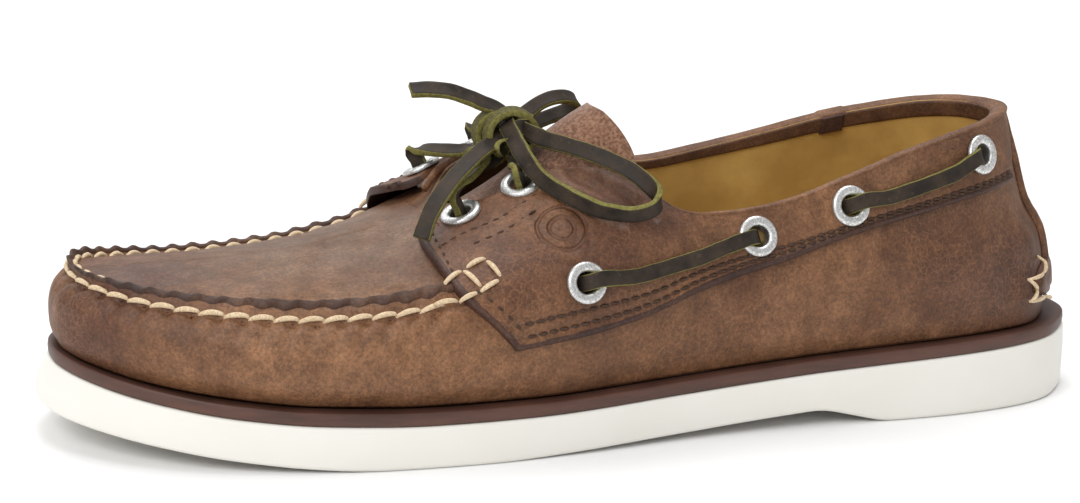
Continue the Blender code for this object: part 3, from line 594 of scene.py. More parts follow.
class Paint:
    """A procedural material on one Principled shader, with short ways to add nodes."""

    def __init__(self, name, roughness=0.5, metallic=0.0, **sockets):
        self.made = bpy.data.materials.new(name)
        self.made.use_nodes = True
        self.tree = self.made.node_tree
        self.shader = self.tree.nodes["Principled BSDF"]
        self.set(Roughness=roughness, Metallic=metallic)
        for socket, value in sockets.items():
            self.shader.inputs[socket.replace("_", " ")].default_value = value
        self.place = self.tree.nodes.new("ShaderNodeTexCoord").outputs["Object"]
        self.height = None

    def set(self, **sockets):
        for socket, value in sockets.items():
            socket = self.shader.inputs[socket.replace("_", " ")]
            if hasattr(value, "links"):
                self.tree.links.new(value, socket)
            else:
                socket.default_value = value
        return self

    def node(self, kind, settings=(), **inputs):
        made = self.tree.nodes.new(kind)
        for key, value in dict(settings).items():
            setattr(made, key, value)
        for key, value in inputs.items():
            socket = made.inputs[int(key[1:])] if key[1:].isdigit() else made.inputs[key]
            if hasattr(value, "links"):
                self.tree.links.new(value, socket)
            else:
                socket.default_value = value
        return made

    def stretched(self, scale, turn=(0, 0, 0)):
        return self.node("ShaderNodeMapping", Vector=self.place, Scale=scale,
                         Rotation=turn).outputs[0]

    def noise(self, size, detail=4.0, rough=0.55, at=None):
        """Noise of this feature size in millimetres."""
        return self.node("ShaderNodeTexNoise", Vector=at or self.place, Scale=1000.0 / size,
                         Detail=detail, Roughness=rough).outputs[0]

    def cells(self, size, at=None, feature="F1"):
        return self.node("ShaderNodeTexVoronoi", {"feature": feature}, Vector=at or self.place,
                         Scale=1000.0 / size).outputs["Distance"]

    def span(self, value, low, high, to=(0.0, 1.0)):
        return self.node("ShaderNodeMapRange", i0=value, i1=low, i2=high, i3=to[0],
                         i4=to[1]).outputs[0]

    def sum(self, kind, a, b):
        return self.node("ShaderNodeMath", {"operation": kind}, i0=a, i1=b).outputs[0]

    def blend(self, share, a, b, kind="MIX"):
        """Between two colours, by share."""
        made = self.tree.nodes.new("ShaderNodeMix")
        made.data_type, made.blend_type = "RGBA", kind
        for socket, value in zip((made.inputs[0], made.inputs[6], made.inputs[7]), (share, a, b)):
            if hasattr(value, "links"):
                self.tree.links.new(value, socket)
            else:
                socket.default_value = (*value, 1) if isinstance(value, tuple) else value
        return made.outputs[2]

    def bump(self, height, strength, distance):
        inputs = {"Height": height, "Strength": strength, "Distance": distance * MM}
        if self.height is not None:
            inputs["Normal"] = self.height
        self.height = self.node("ShaderNodeBump", **inputs).outputs[0]
        self.tree.links.new(self.height, self.shader.inputs["Normal"])
        return self

    def spot(self, centre, radius):
        """1 at a place on the shoe, fading to 0 at radius mm."""
        away = self.node("ShaderNodeVectorMath", {"operation": "DISTANCE"}, i0=self.place,
                         i1=tuple(c * MM for c in centre)).outputs["Value"]
        return self.node("ShaderNodeMapRange", {"interpolation_type": "SMOOTHSTEP"}, i0=away,
                         i1=radius * MM, i2=0.15 * radius * MM).outputs[0]


def leather(name, base, dark, light, spots=(), wear=0.5, gloss=0.47, grain=1.0, rings=None):
    """Oiled pull-up leather: cloudy colour, paler veins, fine grain and short creases. rings holds
    the middle and the radii of rings pressed into it."""
    paint = Paint(name, gloss)
    cloud = paint.span(paint.noise(34, 5, 0.6), 0.36, 0.66)
    colour = paint.blend(cloud, dark, base)
    veins = paint.noise(9, 8, 0.7, paint.stretched((1, 1, 0.6)))
    colour = paint.blend(paint.span(veins, 0.50, 0.74, (0.0, wear)), colour, light)
    for centre, radius, tint, share in spots:
        fade = paint.sum("MULTIPLY", paint.spot(centre, radius), share)
        rough = paint.span(paint.noise(13, 5, 0.65), 0.25, 0.62)
        colour = paint.blend(paint.sum("MULTIPLY", fade, rough), colour, tint)
    shaken = paint.node("ShaderNodeVectorMath", {"operation": "MULTIPLY_ADD"},
                        i0=paint.node("ShaderNodeTexNoise", Vector=paint.place, Scale=260.0,
                                      Detail=3.0).outputs["Color"],
                        i1=(0.0026, 0.0026, 0.0026), i2=paint.place).outputs[0]
    cracks = paint.cells(2.0, shaken, "DISTANCE_TO_EDGE")
    where = paint.noise(26, 4)
    pale = paint.sum("MULTIPLY", paint.span(cracks, 0.0, 0.10, (0.6 * wear, 0.0)),
                     paint.span(where, 0.44, 0.58))
    colour = paint.blend(pale, colour, light)
    deep = paint.sum("MULTIPLY", paint.span(cracks, 0.0, 0.07, (0.6, 0.0)),
                     paint.span(where, 0.50, 0.38))
    colour = paint.blend(deep, colour, dark)
    smudge = paint.span(paint.noise(5.5, 7, 0.72), 0.40, 0.62, (0.82, 1.14))
    grain_fleck = paint.span(paint.noise(0.9, 4, 0.75), 0.38, 0.62, (0.72, 1.26))
    fleck = paint.sum("MULTIPLY", smudge, grain_fleck)
    grey = paint.node("ShaderNodeCombineColor", i0=fleck, i1=fleck, i2=fleck).outputs[0]
    colour = paint.blend(1.0, colour, grey, "MULTIPLY")
    pressed = None
    if rings:
        away = paint.node("ShaderNodeVectorMath", {"operation": "DISTANCE"}, i0=paint.place,
                          i1=tuple(c * MM for c in rings[0])).outputs["Value"]
        for radius in rings[1]:
            gap = paint.sum("ABSOLUTE", paint.sum("SUBTRACT", away, radius * MM), 0.0)
            ring = paint.span(gap, 0.25 * MM, 0.75 * MM, (1.0, 0.0))
            pressed = ring if pressed is None else paint.sum("MAXIMUM", pressed, ring)
        colour = paint.blend(paint.sum("MULTIPLY", pressed, 0.55), colour, dark)
    paint.set(Base_Color=colour)
    shine = paint.span(paint.noise(20, 6, 0.65), 0.3, 0.7, (gloss - 0.06, gloss + 0.16))
    paint.set(Roughness=shine, Specular_IOR_Level=0.34)
    paint.bump(paint.noise(26, 6, 0.6, paint.stretched((1.25, 1.25, 0.45))), 0.35 * grain, 0.55)
    paint.bump(paint.span(cracks, 0.0, 0.12), 0.22 * grain, 0.14)
    paint.bump(paint.noise(1.6, 5, 0.75), 0.75 * grain, 0.24)
    paint.bump(paint.noise(0.7, 3, 0.7), 0.4 * grain, 0.10)
    if pressed is not None:
        paint.bump(paint.sum("SUBTRACT", 1.0, pressed), 0.9, 0.5)
    return paint.made


BROWN, DARK, TAN = (0.180, 0.080, 0.034), (0.098, 0.039, 0.018), (0.35, 0.172, 0.082)
PURPLE = (0.070, 0.027, 0.019)


def rubber():
    paint = Paint("white_rubber", 0.5, Specular_IOR_Level=0.35)
    dust = paint.span(paint.noise(28, 5), 0.4, 0.75, (0.0, 0.35))
    paint.set(Base_Color=paint.blend(dust, (0.81, 0.79, 0.735), (0.74, 0.715, 0.64)))
    paint.set(Roughness=paint.span(paint.noise(6, 4), 0.3, 0.7, (0.42, 0.6)))
    return paint.bump(paint.noise(1.1, 3), 0.12, 0.08).made


def midsole_leather():
    paint = Paint("midsole_edge", 0.55)
    cloud = paint.noise(9, 5, 0.6, paint.stretched((0.4, 0.4, 2.5)))
    colour = paint.blend(paint.span(cloud, 0.35, 0.7), (0.060, 0.024, 0.016), (0.115, 0.049, 0.031))
    paint.set(Base_Color=colour, Roughness=paint.span(cloud, 0.3, 0.7, (0.45, 0.62)))
    paint.bump(paint.noise(3.5, 4, 0.6, paint.stretched((0.3, 0.3, 3.0))), 0.4, 0.15)
    return paint.bump(paint.noise(0.7, 2), 0.25, 0.06).made


def lining_leather(name, base, deep):
    paint = Paint(name, 0.6, Specular_IOR_Level=0.3)
    cloud = paint.span(paint.noise(34, 6), 0.40, 0.62)
    pores = paint.span(paint.cells(0.9), 0.0, 0.35, (0.25, 0.0))
    colour = paint.blend(pores, paint.blend(cloud, deep, base), deep)
    paint.set(Base_Color=colour, Roughness=paint.span(cloud, 0, 1, (0.36, 0.52)))
    paint.bump(paint.noise(26, 3, 0.5, paint.stretched((0.6, 0.6, 1.3))), 0.9, 1.6)
    return paint.bump(paint.cells(0.9), 0.3, 0.06).made


def suede():
    paint = Paint("tongue_suede", 0.85, Specular_IOR_Level=0.2, Sheen_Weight=0.35,
                  Sheen_Roughness=0.5)
    nap = paint.noise(0.95, 3, 0.7)
    cloud = paint.span(paint.noise(15, 4), 0.35, 0.68)
    colour = paint.blend(cloud, (0.125, 0.052, 0.030), (0.200, 0.092, 0.050))
    colour = paint.blend(paint.span(nap, 0.46, 0.62, (0.0, 0.6)), colour, (0.36, 0.215, 0.135))
    colour = paint.blend(paint.span(nap, 0.46, 0.34, (0.0, 0.5)), colour, (0.070, 0.028, 0.018))
    paint.set(Base_Color=colour)
    return paint.bump(nap, 0.55, 0.12).bump(paint.noise(7, 4), 0.4, 0.4).made


def silver():
    paint = Paint("speckled_silver", 0.34, 1.0)
    speck = paint.span(paint.noise(0.55, 3, 0.7), 0.42, 0.62)
    colour = paint.blend(speck, (0.50, 0.50, 0.49), (0.86, 0.86, 0.85))
    paint.set(Base_Color=colour, Roughness=paint.span(speck, 0, 1, (0.5, 0.3)))
    return paint.bump(paint.noise(0.5, 3, 0.7), 0.5, 0.07).made


def thread(name, base, deep):
    paint = Paint(name, 0.62, Specular_IOR_Level=0.3)
    strands = paint.noise(0.45, 2, 0.5)
    colour = paint.blend(paint.span(strands, 0.35, 0.65), deep, base)
    dirty = paint.span(paint.noise(7, 4), 0.45, 0.75, (0.0, 0.4))
    paint.set(Base_Color=paint.blend(dirty, colour, deep))
    return paint.bump(strands, 0.6, 0.12).made


def rawhide():
    """The lace's grain face, cut edge and flesh face."""
    grain = Paint("rawhide_grain", 0.6, Specular_IOR_Level=0.25)
    cloud = grain.span(grain.noise(6, 5, 0.6), 0.35, 0.7)
    colour = grain.blend(cloud, (0.016, 0.011, 0.008), (0.050, 0.034, 0.022))
    scuff = grain.span(grain.noise(2.2, 5, 0.7), 0.58, 0.75, (0.0, 0.5))
    grain.set(Base_Color=grain.blend(scuff, colour, (0.11, 0.085, 0.045)),
              Roughness=grain.span(cloud, 0, 1, (0.52, 0.68)))
    grain.bump(grain.noise(1.0, 4), 0.4, 0.10)
    made = [grain.made]
    for name, base, deep in (("rawhide_edge", (0.235, 0.215, 0.062), (0.105, 0.088, 0.026)),
                             ("rawhide_flesh", (0.150, 0.135, 0.045), (0.050, 0.042, 0.018))):
        paint = Paint(name, 0.85, Specular_IOR_Level=0.2)
        fuzz = paint.noise(0.9, 4, 0.7)
        paint.set(Base_Color=paint.blend(paint.span(fuzz, 0.32, 0.66), deep, base))
        made.append(paint.bump(fuzz, 0.8, 0.2).made)
    return made


VAMP_SPOTS = [
    ((-122, -10, 47), 26, PURPLE, 0.75), ((-140, -22, 36), 24, PURPLE, 0.6),
    ((-98, -46, 26), 44, TAN, 0.6), ((-20, -44, 28), 30, TAN, 0.25),
    ((20, -38, 30), 26, PURPLE, 0.2), ((125, -28, 30), 30, PURPLE, 0.5),
    ((144, -5, 30), 26, PURPLE, 0.4), ((-60, -49, 28), 38, TAN, 0.35),
    ((60, -38, 36), 36, TAN, 0.25), ((100, -33, 38), 30, PURPLE, 0.3),
    # The first patch on the next line is a painted sheen: a greyer, paler tone over the top of the
    # plug.
    ((-75, 0, 50), 60, (0.165, 0.108, 0.072), 0.75), ((-130, 20, 40), 24, PURPLE, 0.4),
    ((20, 38, 30), 40, PURPLE, 0.35),
]
BAND_SPOTS = [((-38, -40, 42), 26, PURPLE, 0.55), ((-8, -36, 56), 30, PURPLE, 0.6),
              ((4, -30, 64), 22, PURPLE, 0.5), ((-40, -22, 58), 22, PURPLE, 0.45),
              ((70, -32, 62), 40, TAN, 0.4), ((30, -34, 50), 24, TAN, 0.25)]
HIDE = leather("oiled_hide", BROWN, DARK, TAN, VAMP_SPOTS, 0.42)
# x and height of the mark pressed in the lateral band, and the radii of its rings.
MARK_AT, MARK_RINGS = np.array((-18.2, 57.7)), (6.6, 3.4)
MARK_POINT = on_band(-1, *np.array(place_at(-1, *MARK_AT)), BAND_GAP + OVERLAY, uneven=False)
BAND_HIDE = leather("oiled_band", BROWN, DARK, TAN, BAND_SPOTS, 0.40,
                    rings=(MARK_POINT.ravel().tolist(), MARK_RINGS))
# Dark hide for the bands' folded edges and the facing's overlap; on the lining in front of the throat
# it is painted shade.
EDGE_HIDE = leather("dark_edge", (0.070, 0.031, 0.020), (0.040, 0.018, 0.013), (0.125, 0.062, 0.038),
                    (), 0.35, 0.5)
# A darker copy of the hide, as painted shade: on the collar's facing inside the shoe and in the bands'
# stitch troughs.
SHADED_HIDE = leather("collar_roll", (0.128, 0.058, 0.028), (0.068, 0.029, 0.016),
                    (0.22, 0.12, 0.062), (), 0.35, 0.5)
BEAD_HIDE = leather("gathered_edge", (0.090, 0.038, 0.020), (0.036, 0.015, 0.010),
                    (0.19, 0.10, 0.05), (), 0.4, 0.55)
RUBBER, MID = rubber(), midsole_leather()
LINING = lining_leather("tan_lining", (0.62, 0.40, 0.12), (0.42, 0.25, 0.070))
FOOTBED = lining_leather("tan_footbed", (0.56, 0.385, 0.165), (0.46, 0.30, 0.12))
SUEDE, SILVER = suede(), silver()
CREAM = thread("cream_thread", (0.78, 0.62, 0.42), (0.52, 0.38, 0.23))
TONAL = thread("brown_thread", (0.085, 0.046, 0.028), (0.035, 0.018, 0.012))
RAWHIDE = rawhide()


# ---------------------------------------------------------------- camera and light

def make_camera():
    target, away = np.array((-10.7, 2.5, 43.0)), 800.1
    elevation, azimuth, roll = (math.radians(a) for a in (13.59, 18.92, 2.2))
    look = np.array((math.sin(azimuth) * math.cos(elevation),
                     math.cos(azimuth) * math.cos(elevation), -math.sin(elevation)))
    right = np.array((math.cos(azimuth), -math.sin(azimuth), 0))
    up = np.cross(right, look)
    right, up = (right * math.cos(roll) + up * math.sin(roll),
                 up * math.cos(roll) - right * math.sin(roll))
    lens = bpy.data.cameras.new("camera")
    lens.lens, lens.sensor_width = 96.2, 36.0
    lens.clip_start, lens.clip_end = 0.01, 60
    made = bpy.data.objects.new("camera", lens)
    bpy.context.scene.collection.objects.link(made)
    turned = Matrix([[*row] for row in np.stack([right, up, -look], 1)]).to_4x4()
    turned.translation = Vector((target - away * look) * MM)
    made.matrix_world = turned
    bpy.context.scene.camera = made


def make_stage():
    floor = bpy.data.meshes.new("floor")
    wide = 14.0
    floor.from_pydata([(-wide, -wide, 0), (wide, -wide, 0), (wide, wide, 0), (-wide, wide, 0)], [],
                      [(0, 1, 2, 3)])
    pale = bpy.data.materials.new("pale_floor")
    pale.use_nodes = True
    pale.node_tree.nodes["Principled BSDF"].inputs["Base Color"].default_value = (0.9, 0.9, 0.9, 1)
    pale.node_tree.nodes["Principled BSDF"].inputs["Roughness"].default_value = 0.9
    floor.materials.append(pale)
    ground = bpy.data.objects.new("floor", floor)
    bpy.context.scene.collection.objects.link(ground)
    # Name, place, what it points at, width and depth, power
    for name, at, aim, size, power in (
            ("key", (-1.1, -1.0, 1.15), (-0.04, 0, 0.04), (1.1, 0.8), 17),
            ("top", (0.15, 0.35, 1.7), (0, 0, 0.04), (1.2, 1.0), 17),
            ("side", (1.5, -0.9, 0.8), (0.02, 0, 0.04), (0.8, 0.8), 1.2),
            ("rear", (-0.4, 1.6, 1.1), (0, 0, 0.04), (1.6, 0.9), 7)):
        light = bpy.data.lights.new(name, "AREA")
        light.shape, light.size, light.size_y, light.energy = "RECTANGLE", *size, power
        lamp = bpy.data.objects.new(name, light)
        lamp.location = at
        lamp.rotation_euler = (Vector(aim) - Vector(at)).to_track_quat("-Z", "Y").to_euler()
        bpy.context.scene.collection.objects.link(lamp)
    world = bpy.data.worlds.new("studio")
    world.use_nodes = True
    sky = world.node_tree.nodes["Background"]
    sky.inputs["Color"].default_value = (1, 1, 1, 1)
    sky.inputs["Strength"].default_value = 0.55
    bpy.context.scene.world = world
    bpy.context.scene.view_settings.view_transform = "Standard"


# ---------------------------------------------------------------- lace

# Each route starts inside the knot. The second list holds the direction of the width at each point.
LACE_ENDS = {
    "lace_end_upper": ([(-18, 1, 78), (-21.5, 2, 81.5), (-25, 3, 83.8), (-28.8, 3, 85.2),
                        (-32.3, 3, 86.7), (-38, 3, 88.6), (-43.6, 3.5, 89.2), (-49, 3.5, 89.1)],
                       [(0.3, 0.9, 0.3), (0.3, 0.9, 0.4), (0.3, 0.8, 0.5), (0.3, 0.7, 0.6),
                        (0.2, 0.7, 0.6), (0.2, 0.7, 0.7), (0.1, 0.75, 0.65), (0.1, 0.8, 0.6)]),
    "lace_end_lower": ([(-21, 1, 78.5), (-24.5, -2.5, 77.4), (-28, -5.2, 75.6), (-32.5, -9.5, 74.6),
                        (-39.6, -15.7, 71.2), (-46.3, -22.5, 67.4), (-51.5, -27, 62),
                        (-54.4, -29, 55.8)],
                       [(0.5, -0.55, -0.4), (0.5, -0.6, -0.35), (0.5, -0.6, -0.35),
                        (0.5, -0.6, -0.35), (0.5, -0.6, -0.3), (0.5, -0.6, -0.3),
                        (0.55, -0.6, -0.3), (0.6, -0.5, -0.3)]),
}
LACE_LOOPS = {
    "lace_loop_near": ([(-21.5, 1, 80.4), (-23.4, -3, 80.2), (-23.2, -7.5, 78.2), (-23.8, -17, 75.9),
                        (-23, -23.4, 73), (-19.9, -27, 69.3), (-14.6, -33.5, 66.5),
                        (-8.3, -38, 64), (-0.7, -40.5, 63), (4.2, -41, 63.8), (7, -40, 65.1),
                        (7.9, -38, 67), (6.6, -35, 69.2), (2.7, -30, 72.4), (-3.9, -24, 75.2),
                        (-10.4, -18, 76.9), (-15.4, -12, 77.7), (-18.1, -7, 78.6),
                        (-20, -2, 79)],
                       [(0.7, -0.2, 0.5), (0.7, -0.2, 0.5), (0.7, -0.3, 0.6), (0.65, -0.4, 0.7),
                        (0.6, -0.5, 0.8), (0.5, -0.6, 0.9), (0.35, -0.6, 1), (0.15, -0.55, 1),
                        (0, -0.5, 1), (-0.15, -0.35, 1), (-0.15, -0.2, 1), (-0.05, 0, 1),
                        (0.2, 0.15, 0.9), *[(0.35, 0.2, 0.85)] * 6]),
    "lace_loop_far": ([(-18.5, 5, 79.6), (-14.2, 7, 81.7), (-10.2, 8, 84), (-5.3, 9.5, 85.1),
                       (-0.6, 12, 84.4), (2.1, 14.8, 82.8), (2.9, 17.6, 80.8), (1.1, 19.6, 79),
                       (-1.8, 19.4, 78.1), (-5.6, 17, 77.7), (-10.6, 12, 77.4), (-16.5, 5.5, 77.4)],
                      [(-0.25, 0.7, 0.65)] * 12),
}


def lace_piece(name, path, widths, wide, seed):
    """The detailed strap that stands for the CAD node of this name, and its centreline."""
    points, faces, marks, line = strap(path, widths, wide, seed=seed)
    marks = [0 if mark == 2 else mark for mark in marks]
    made = mesh_piece(name + "_hide", points, faces, RAWHIDE, "lace_rawhide", [name], marks=marks)
    return made, line


def make_cords():
    """The lace's two free ends and the bow's two loops."""
    for routes, far_end, first_seed in ((LACE_ENDS, "bare", 3), (LACE_LOOPS, "object", 7)):
        for k, (name, (path, widths)) in enumerate(routes.items()):
            wide = NARROW_LACE if name == "lace_loop_far" else LACE_WIDE
            made, line = lace_piece(name, path, widths, wide, first_seed + k)
            length = float(np.linalg.norm(np.diff(line, axis=0), axis=1).sum()) * MM


def make_knot():
    """The wrap round the bow's middle, a second turn behind it, and the strands it holds."""
    def ring(centre, radius_x, radius_z, tilt, seed, low, high):
        angles = np.radians(np.linspace(low, high, 13))
        route = [centre + np.array((radius_x * math.sin(a), tilt * math.sin(a),
                                    radius_z * math.cos(a))) for a in angles]
        return strap(route, [(0.15 * math.cos(a), 1, 0.1) for a in angles], seed=seed)[:3]
    parts = [
        ring(np.array((-21.6, -1.6, 77.4)), 7.0, 6.3, 0.6, 21, -175, 120),
        ring(np.array((-24.2, 2.2, 77.0)), 6.0, 5.9, -0.8, 22, -170, 100),
        strap([(-27, -8, 73.4), (-25.5, -6.3, 76.4), (-22.5, -5.4, 78.8), (-19.5, -4.2, 79.6),
               (-17, 0, 79.4), (-15, 5, 79.6)],
              [(0.5, 0.6, 0.6)] * 6, seed=23)[:3],
        strap([(-16.5, -6.6, 75.4), (-18.5, -4.5, 74.6), (-21, -2, 74.6), (-24.5, 2, 75.4),
               (-27.5, 4, 77.2)], [(0.7, 0.5, 0.3)] * 5, seed=24)[:3],
        strap([(-14, -4, 77), (-17, -2.5, 78.6), (-20.5, 0, 79.4), (-23.5, 3.5, 79.5),
               (-22.5, 7, 76.6)], [(0.8, 0.5, 0.2)] * 5, seed=25)[:3],
    ]
    marks = sum((list(m) for _, _, m in parts), [])
    # The two turns show their flesh face, the strands their grain face.
    flesh = {0: 2, 1: 1, 2: 0}
    turned = len(parts[0][2]) + len(parts[1][2])
    marks = [flesh[m] for m in marks[:turned]] + [0 if m == 2 else m for m in marks[turned:]]
    points, faces = joined([part[:2] for part in parts])
    mesh_piece("lace_knot_wraps", points, faces, RAWHIDE, "lace_rawhide", ["lace_knot"],
               marks=marks)


def make_crossings():
    """Two straps that rise from the throat eyelets and meet under the knot."""
    meet = KNOT - (0, 0, 6.8)
    for name, shift in (("front", -3.0), ("rear", 3.0)):
        (a, na, _), (b, nb, _) = (EYELETS[f"throat_{name}_{w}"] for w in ("lateral", "medial"))
        top = meet + (shift, 0, 0)
        inward_a, inward_b = (unit(top - p) for p in (a, b))
        path = [a - na * 5.5, a - na * 1.6, a + na * 2.8, a + na * 5.6 + inward_a * 0.8,
                a * 0.45 + top * 0.55 + na * 2.4, top - (0, 4.5, 0.5), top, top + (0, 4.5, -0.5),
                b * 0.45 + top * 0.55 + nb * 2.4, b + nb * 5.6 + inward_b * 0.8, b + nb * 2.8,
                b - nb * 1.6, b - nb * 5.5]
        lace_piece(f"lace_crossing_{name}", path,
                   [(0.55, 0.85, 0.1)] * 5 + [(1, 0, 0)] * 3 + [(0.7, -0.5, 0.2)] * 5,
                   NARROW_LACE, 31)


def make_side_laces():
    """The lace bars over the bands, between two side eyelets."""
    for word in ("lateral", "medial"):
        for first, second in (("side_1", "side_2"), ("side_3", "side_4")):
            (a, na, side), (b, nb, _) = (EYELETS[f"{n}_{word}"] for n in (first, second))
            along = basis(na, b - a)[0]
            path = [a - na * 2.9 - along * 1.2, a - na * 1.2 - along * 0.2, a + na * 0.8 + along * 1.4,
                    a + na * 2.1 + along * 4.2]
            for f in (0.24, 0.36, 0.5, 0.64, 0.76):
                x = a[0] + (b[0] - a[0]) * f
                z = a[2] + (b[2] - a[2]) * f - 1.0 * math.sin(math.pi * f)
                u, v = place_at(side, x, z - 1)
                path.append(on_band(side, np.array(u), np.array(v),
                                    OVERLAY + BAND_GAP + 1.2 + 0.7 * (2 * f - 1) ** 2,
                                    uneven=False))
            along = basis(nb, b - a)[0]
            path += [b + nb * 2.1 - along * 4.2, b + nb * 0.8 - along * 1.4,
                     b - nb * 1.2 + along * 0.2, b - nb * 2.9 + along * 1.2]
            widths = [np.cross(na * (1 - f) + nb * f, b - a) for f in np.linspace(0, 1, len(path))]
            lace_piece(f"side_lace_{first}_{word}", path, widths, NARROW_LACE, 41)


# ---------------------------------------------------------------- upper

def spread(*stretches):
    """Places along several stretches, each (start, end, count)."""
    parts = [np.linspace(a, b, max(int(n * FINE), 2), endpoint=False) for a, b, n in stretches]
    return np.concatenate([*parts, [stretches[-1][1]]])


def drill(target, only="", reach=7.0, radius=3.75):
    """Real holes through a piece where the eyelets sit."""
    parts = []
    for at, axis, _ in (found for name, found in EYELETS.items() if name.startswith(only)):
        side, across, axis = basis(axis)
        rings = [[at + (side * math.cos(a) + across * math.sin(a)) * radius + axis * h
                  for a in np.linspace(0, math.tau, 24, endpoint=False)] for h in (-reach, reach)]
        parts.append(tube(rings))
    points, faces = joined(parts)
    mesh = bpy.data.meshes.new("drills")
    mesh.from_pydata((points * MM).tolist(), [], faces)
    cutter = bpy.data.objects.new("drills", mesh)
    bpy.context.scene.collection.objects.link(cutter)
    work = target.modifiers.new("holes", "BOOLEAN")
    work.operation, work.object, work.solver = "DIFFERENCE", cutter, "EXACT"
    graph = bpy.context.evaluated_depsgraph_get()
    made = bpy.data.meshes.new_from_object(target.evaluated_get(graph))
    target.modifiers.clear()
    old = target.data
    target.data = made
    made.name = old.name + "_drilled"
    bpy.data.meshes.remove(old)
    bpy.data.objects.remove(cutter)
    bpy.data.meshes.remove(mesh)
    return target


def close_plug(skins, u):
    """Makes the two halves of the plug meet on its middle line."""
    plug = near_toe(u) <= THROAT_RIB
    mirror = np.array([np.argmin(np.abs(u - (ROUND - a) % ROUND)) for a in u])
    for skin in skins:
        middle = (skin[-1] + skin[-1][mirror]) / 2
        skin[-1][plug] = middle[plug]


def make_upper():
    """The outer leather, and the lining inside it: tan at the back; in front of the throat the lining
    takes the dark hide as painted shade.
    """
    wall_u = spread((0, 8.6, 250), (8.6, 31.4, 210), (31.4, ROUND, 250))[:-1]
    wall_v = spread((0, 2.3, 26), (2.3, 3.45, 46), (3.45, TOP, 26))
    u, v = np.meshgrid(wall_u, wall_v)
    skins = [on_upper(u, v), on_upper(u, v, -0.95, uneven=False)]
    close_plug(skins, wall_u)
    drill(skin_piece("upper_hide", *skins, HIDE, "upper_leather", ["upper"], closed=True))
    lining_u, lining_v = spread((0, ROUND, 200))[:-1], spread((0, TOP, 34))
    u, v = np.meshgrid(lining_u, lining_v)
    skins = [bare(u, v) + outward(u, v) * (off + 0.12 * waves(u, v, 34, 8))[..., None]
             for off in (-1.05, -WALL)]
    close_plug(skins, lining_u)
    # Painted shade: the lining in front of the throat is tan like the rest, but takes the dark hide
    # where it lies in shadow.
    dark = near_toe(np.concatenate([u.ravel()] * 2)) <= 11.4
    _, faces = two_skins(*skins, closed=True)
    made = skin_piece("upper_lining", *skins, [LINING, EDGE_HIDE], "insole_leather", closed=True,
                      marks=[int(dark[f[0]]) for f in faces])
    drill(made, "throat")


def rounded(gap, wide):
    """1 away from an edge, falling in a quarter round to 0 at it."""
    t = np.clip(1 - gap / wide, 0, 1)
    return np.sqrt(1 - t**2)


def gaps(points):
    """Millimetres from each grid point to the grid's four edges: first row, last row, first and last
    column."""
    def run(grid):
        steps = np.linalg.norm(np.diff(grid, axis=0), axis=-1)
        return np.concatenate([np.zeros_like(steps[:1]), np.cumsum(steps, 0)])
    rows, columns = run(points), run(points.swapaxes(0, 1)).T
    return rows, rows[-1] - rows, columns, columns[:, -1:] - columns


# Stitch rows of the bands: how far each lies from the folded lower edge, front to back.
LOW_ROW = [(0.0, 4.2), (0.25, 3.6), (0.5, 3.1), (0.75, 2.6), (1.0, 2.3)]
HIGH_ROW = [(0.0, 8.2), (0.25, 6.6), (0.5, 4.6), (0.75, 3.7), (1.0, 3.4)]
BAND_WRINKLES = [((-11, 70), (-5, 67), (4, 62.5), 1.0, 1.6), ((-3, 69), (2, 65.5), (8, 61), 0.9, 1.4),
                 ((-16, 66), (-9, 64), (-2, 60.5), 0.75, 1.7), ((-25, 62), (-20, 59.5), (-16, 55),
                                                              0.45, 2.0)]


def band_j(side, i, gap):
    """The place up the band that is gap mm above its lower edge."""
    i = np.atleast_1d(np.asarray(i, float))
    j = np.linspace(0, 0.6, 60)
    grid = bare(*BAND_UV[side](i[:, None], j[None]))
    run = np.concatenate([np.zeros((len(i), 1)),
                          np.cumsum(np.linalg.norm(np.diff(grid, axis=1), axis=-1), 1)], 1)
    return np.array([np.interp(g, row, j) for g, row in zip(np.broadcast_to(gap, i.shape), run)])


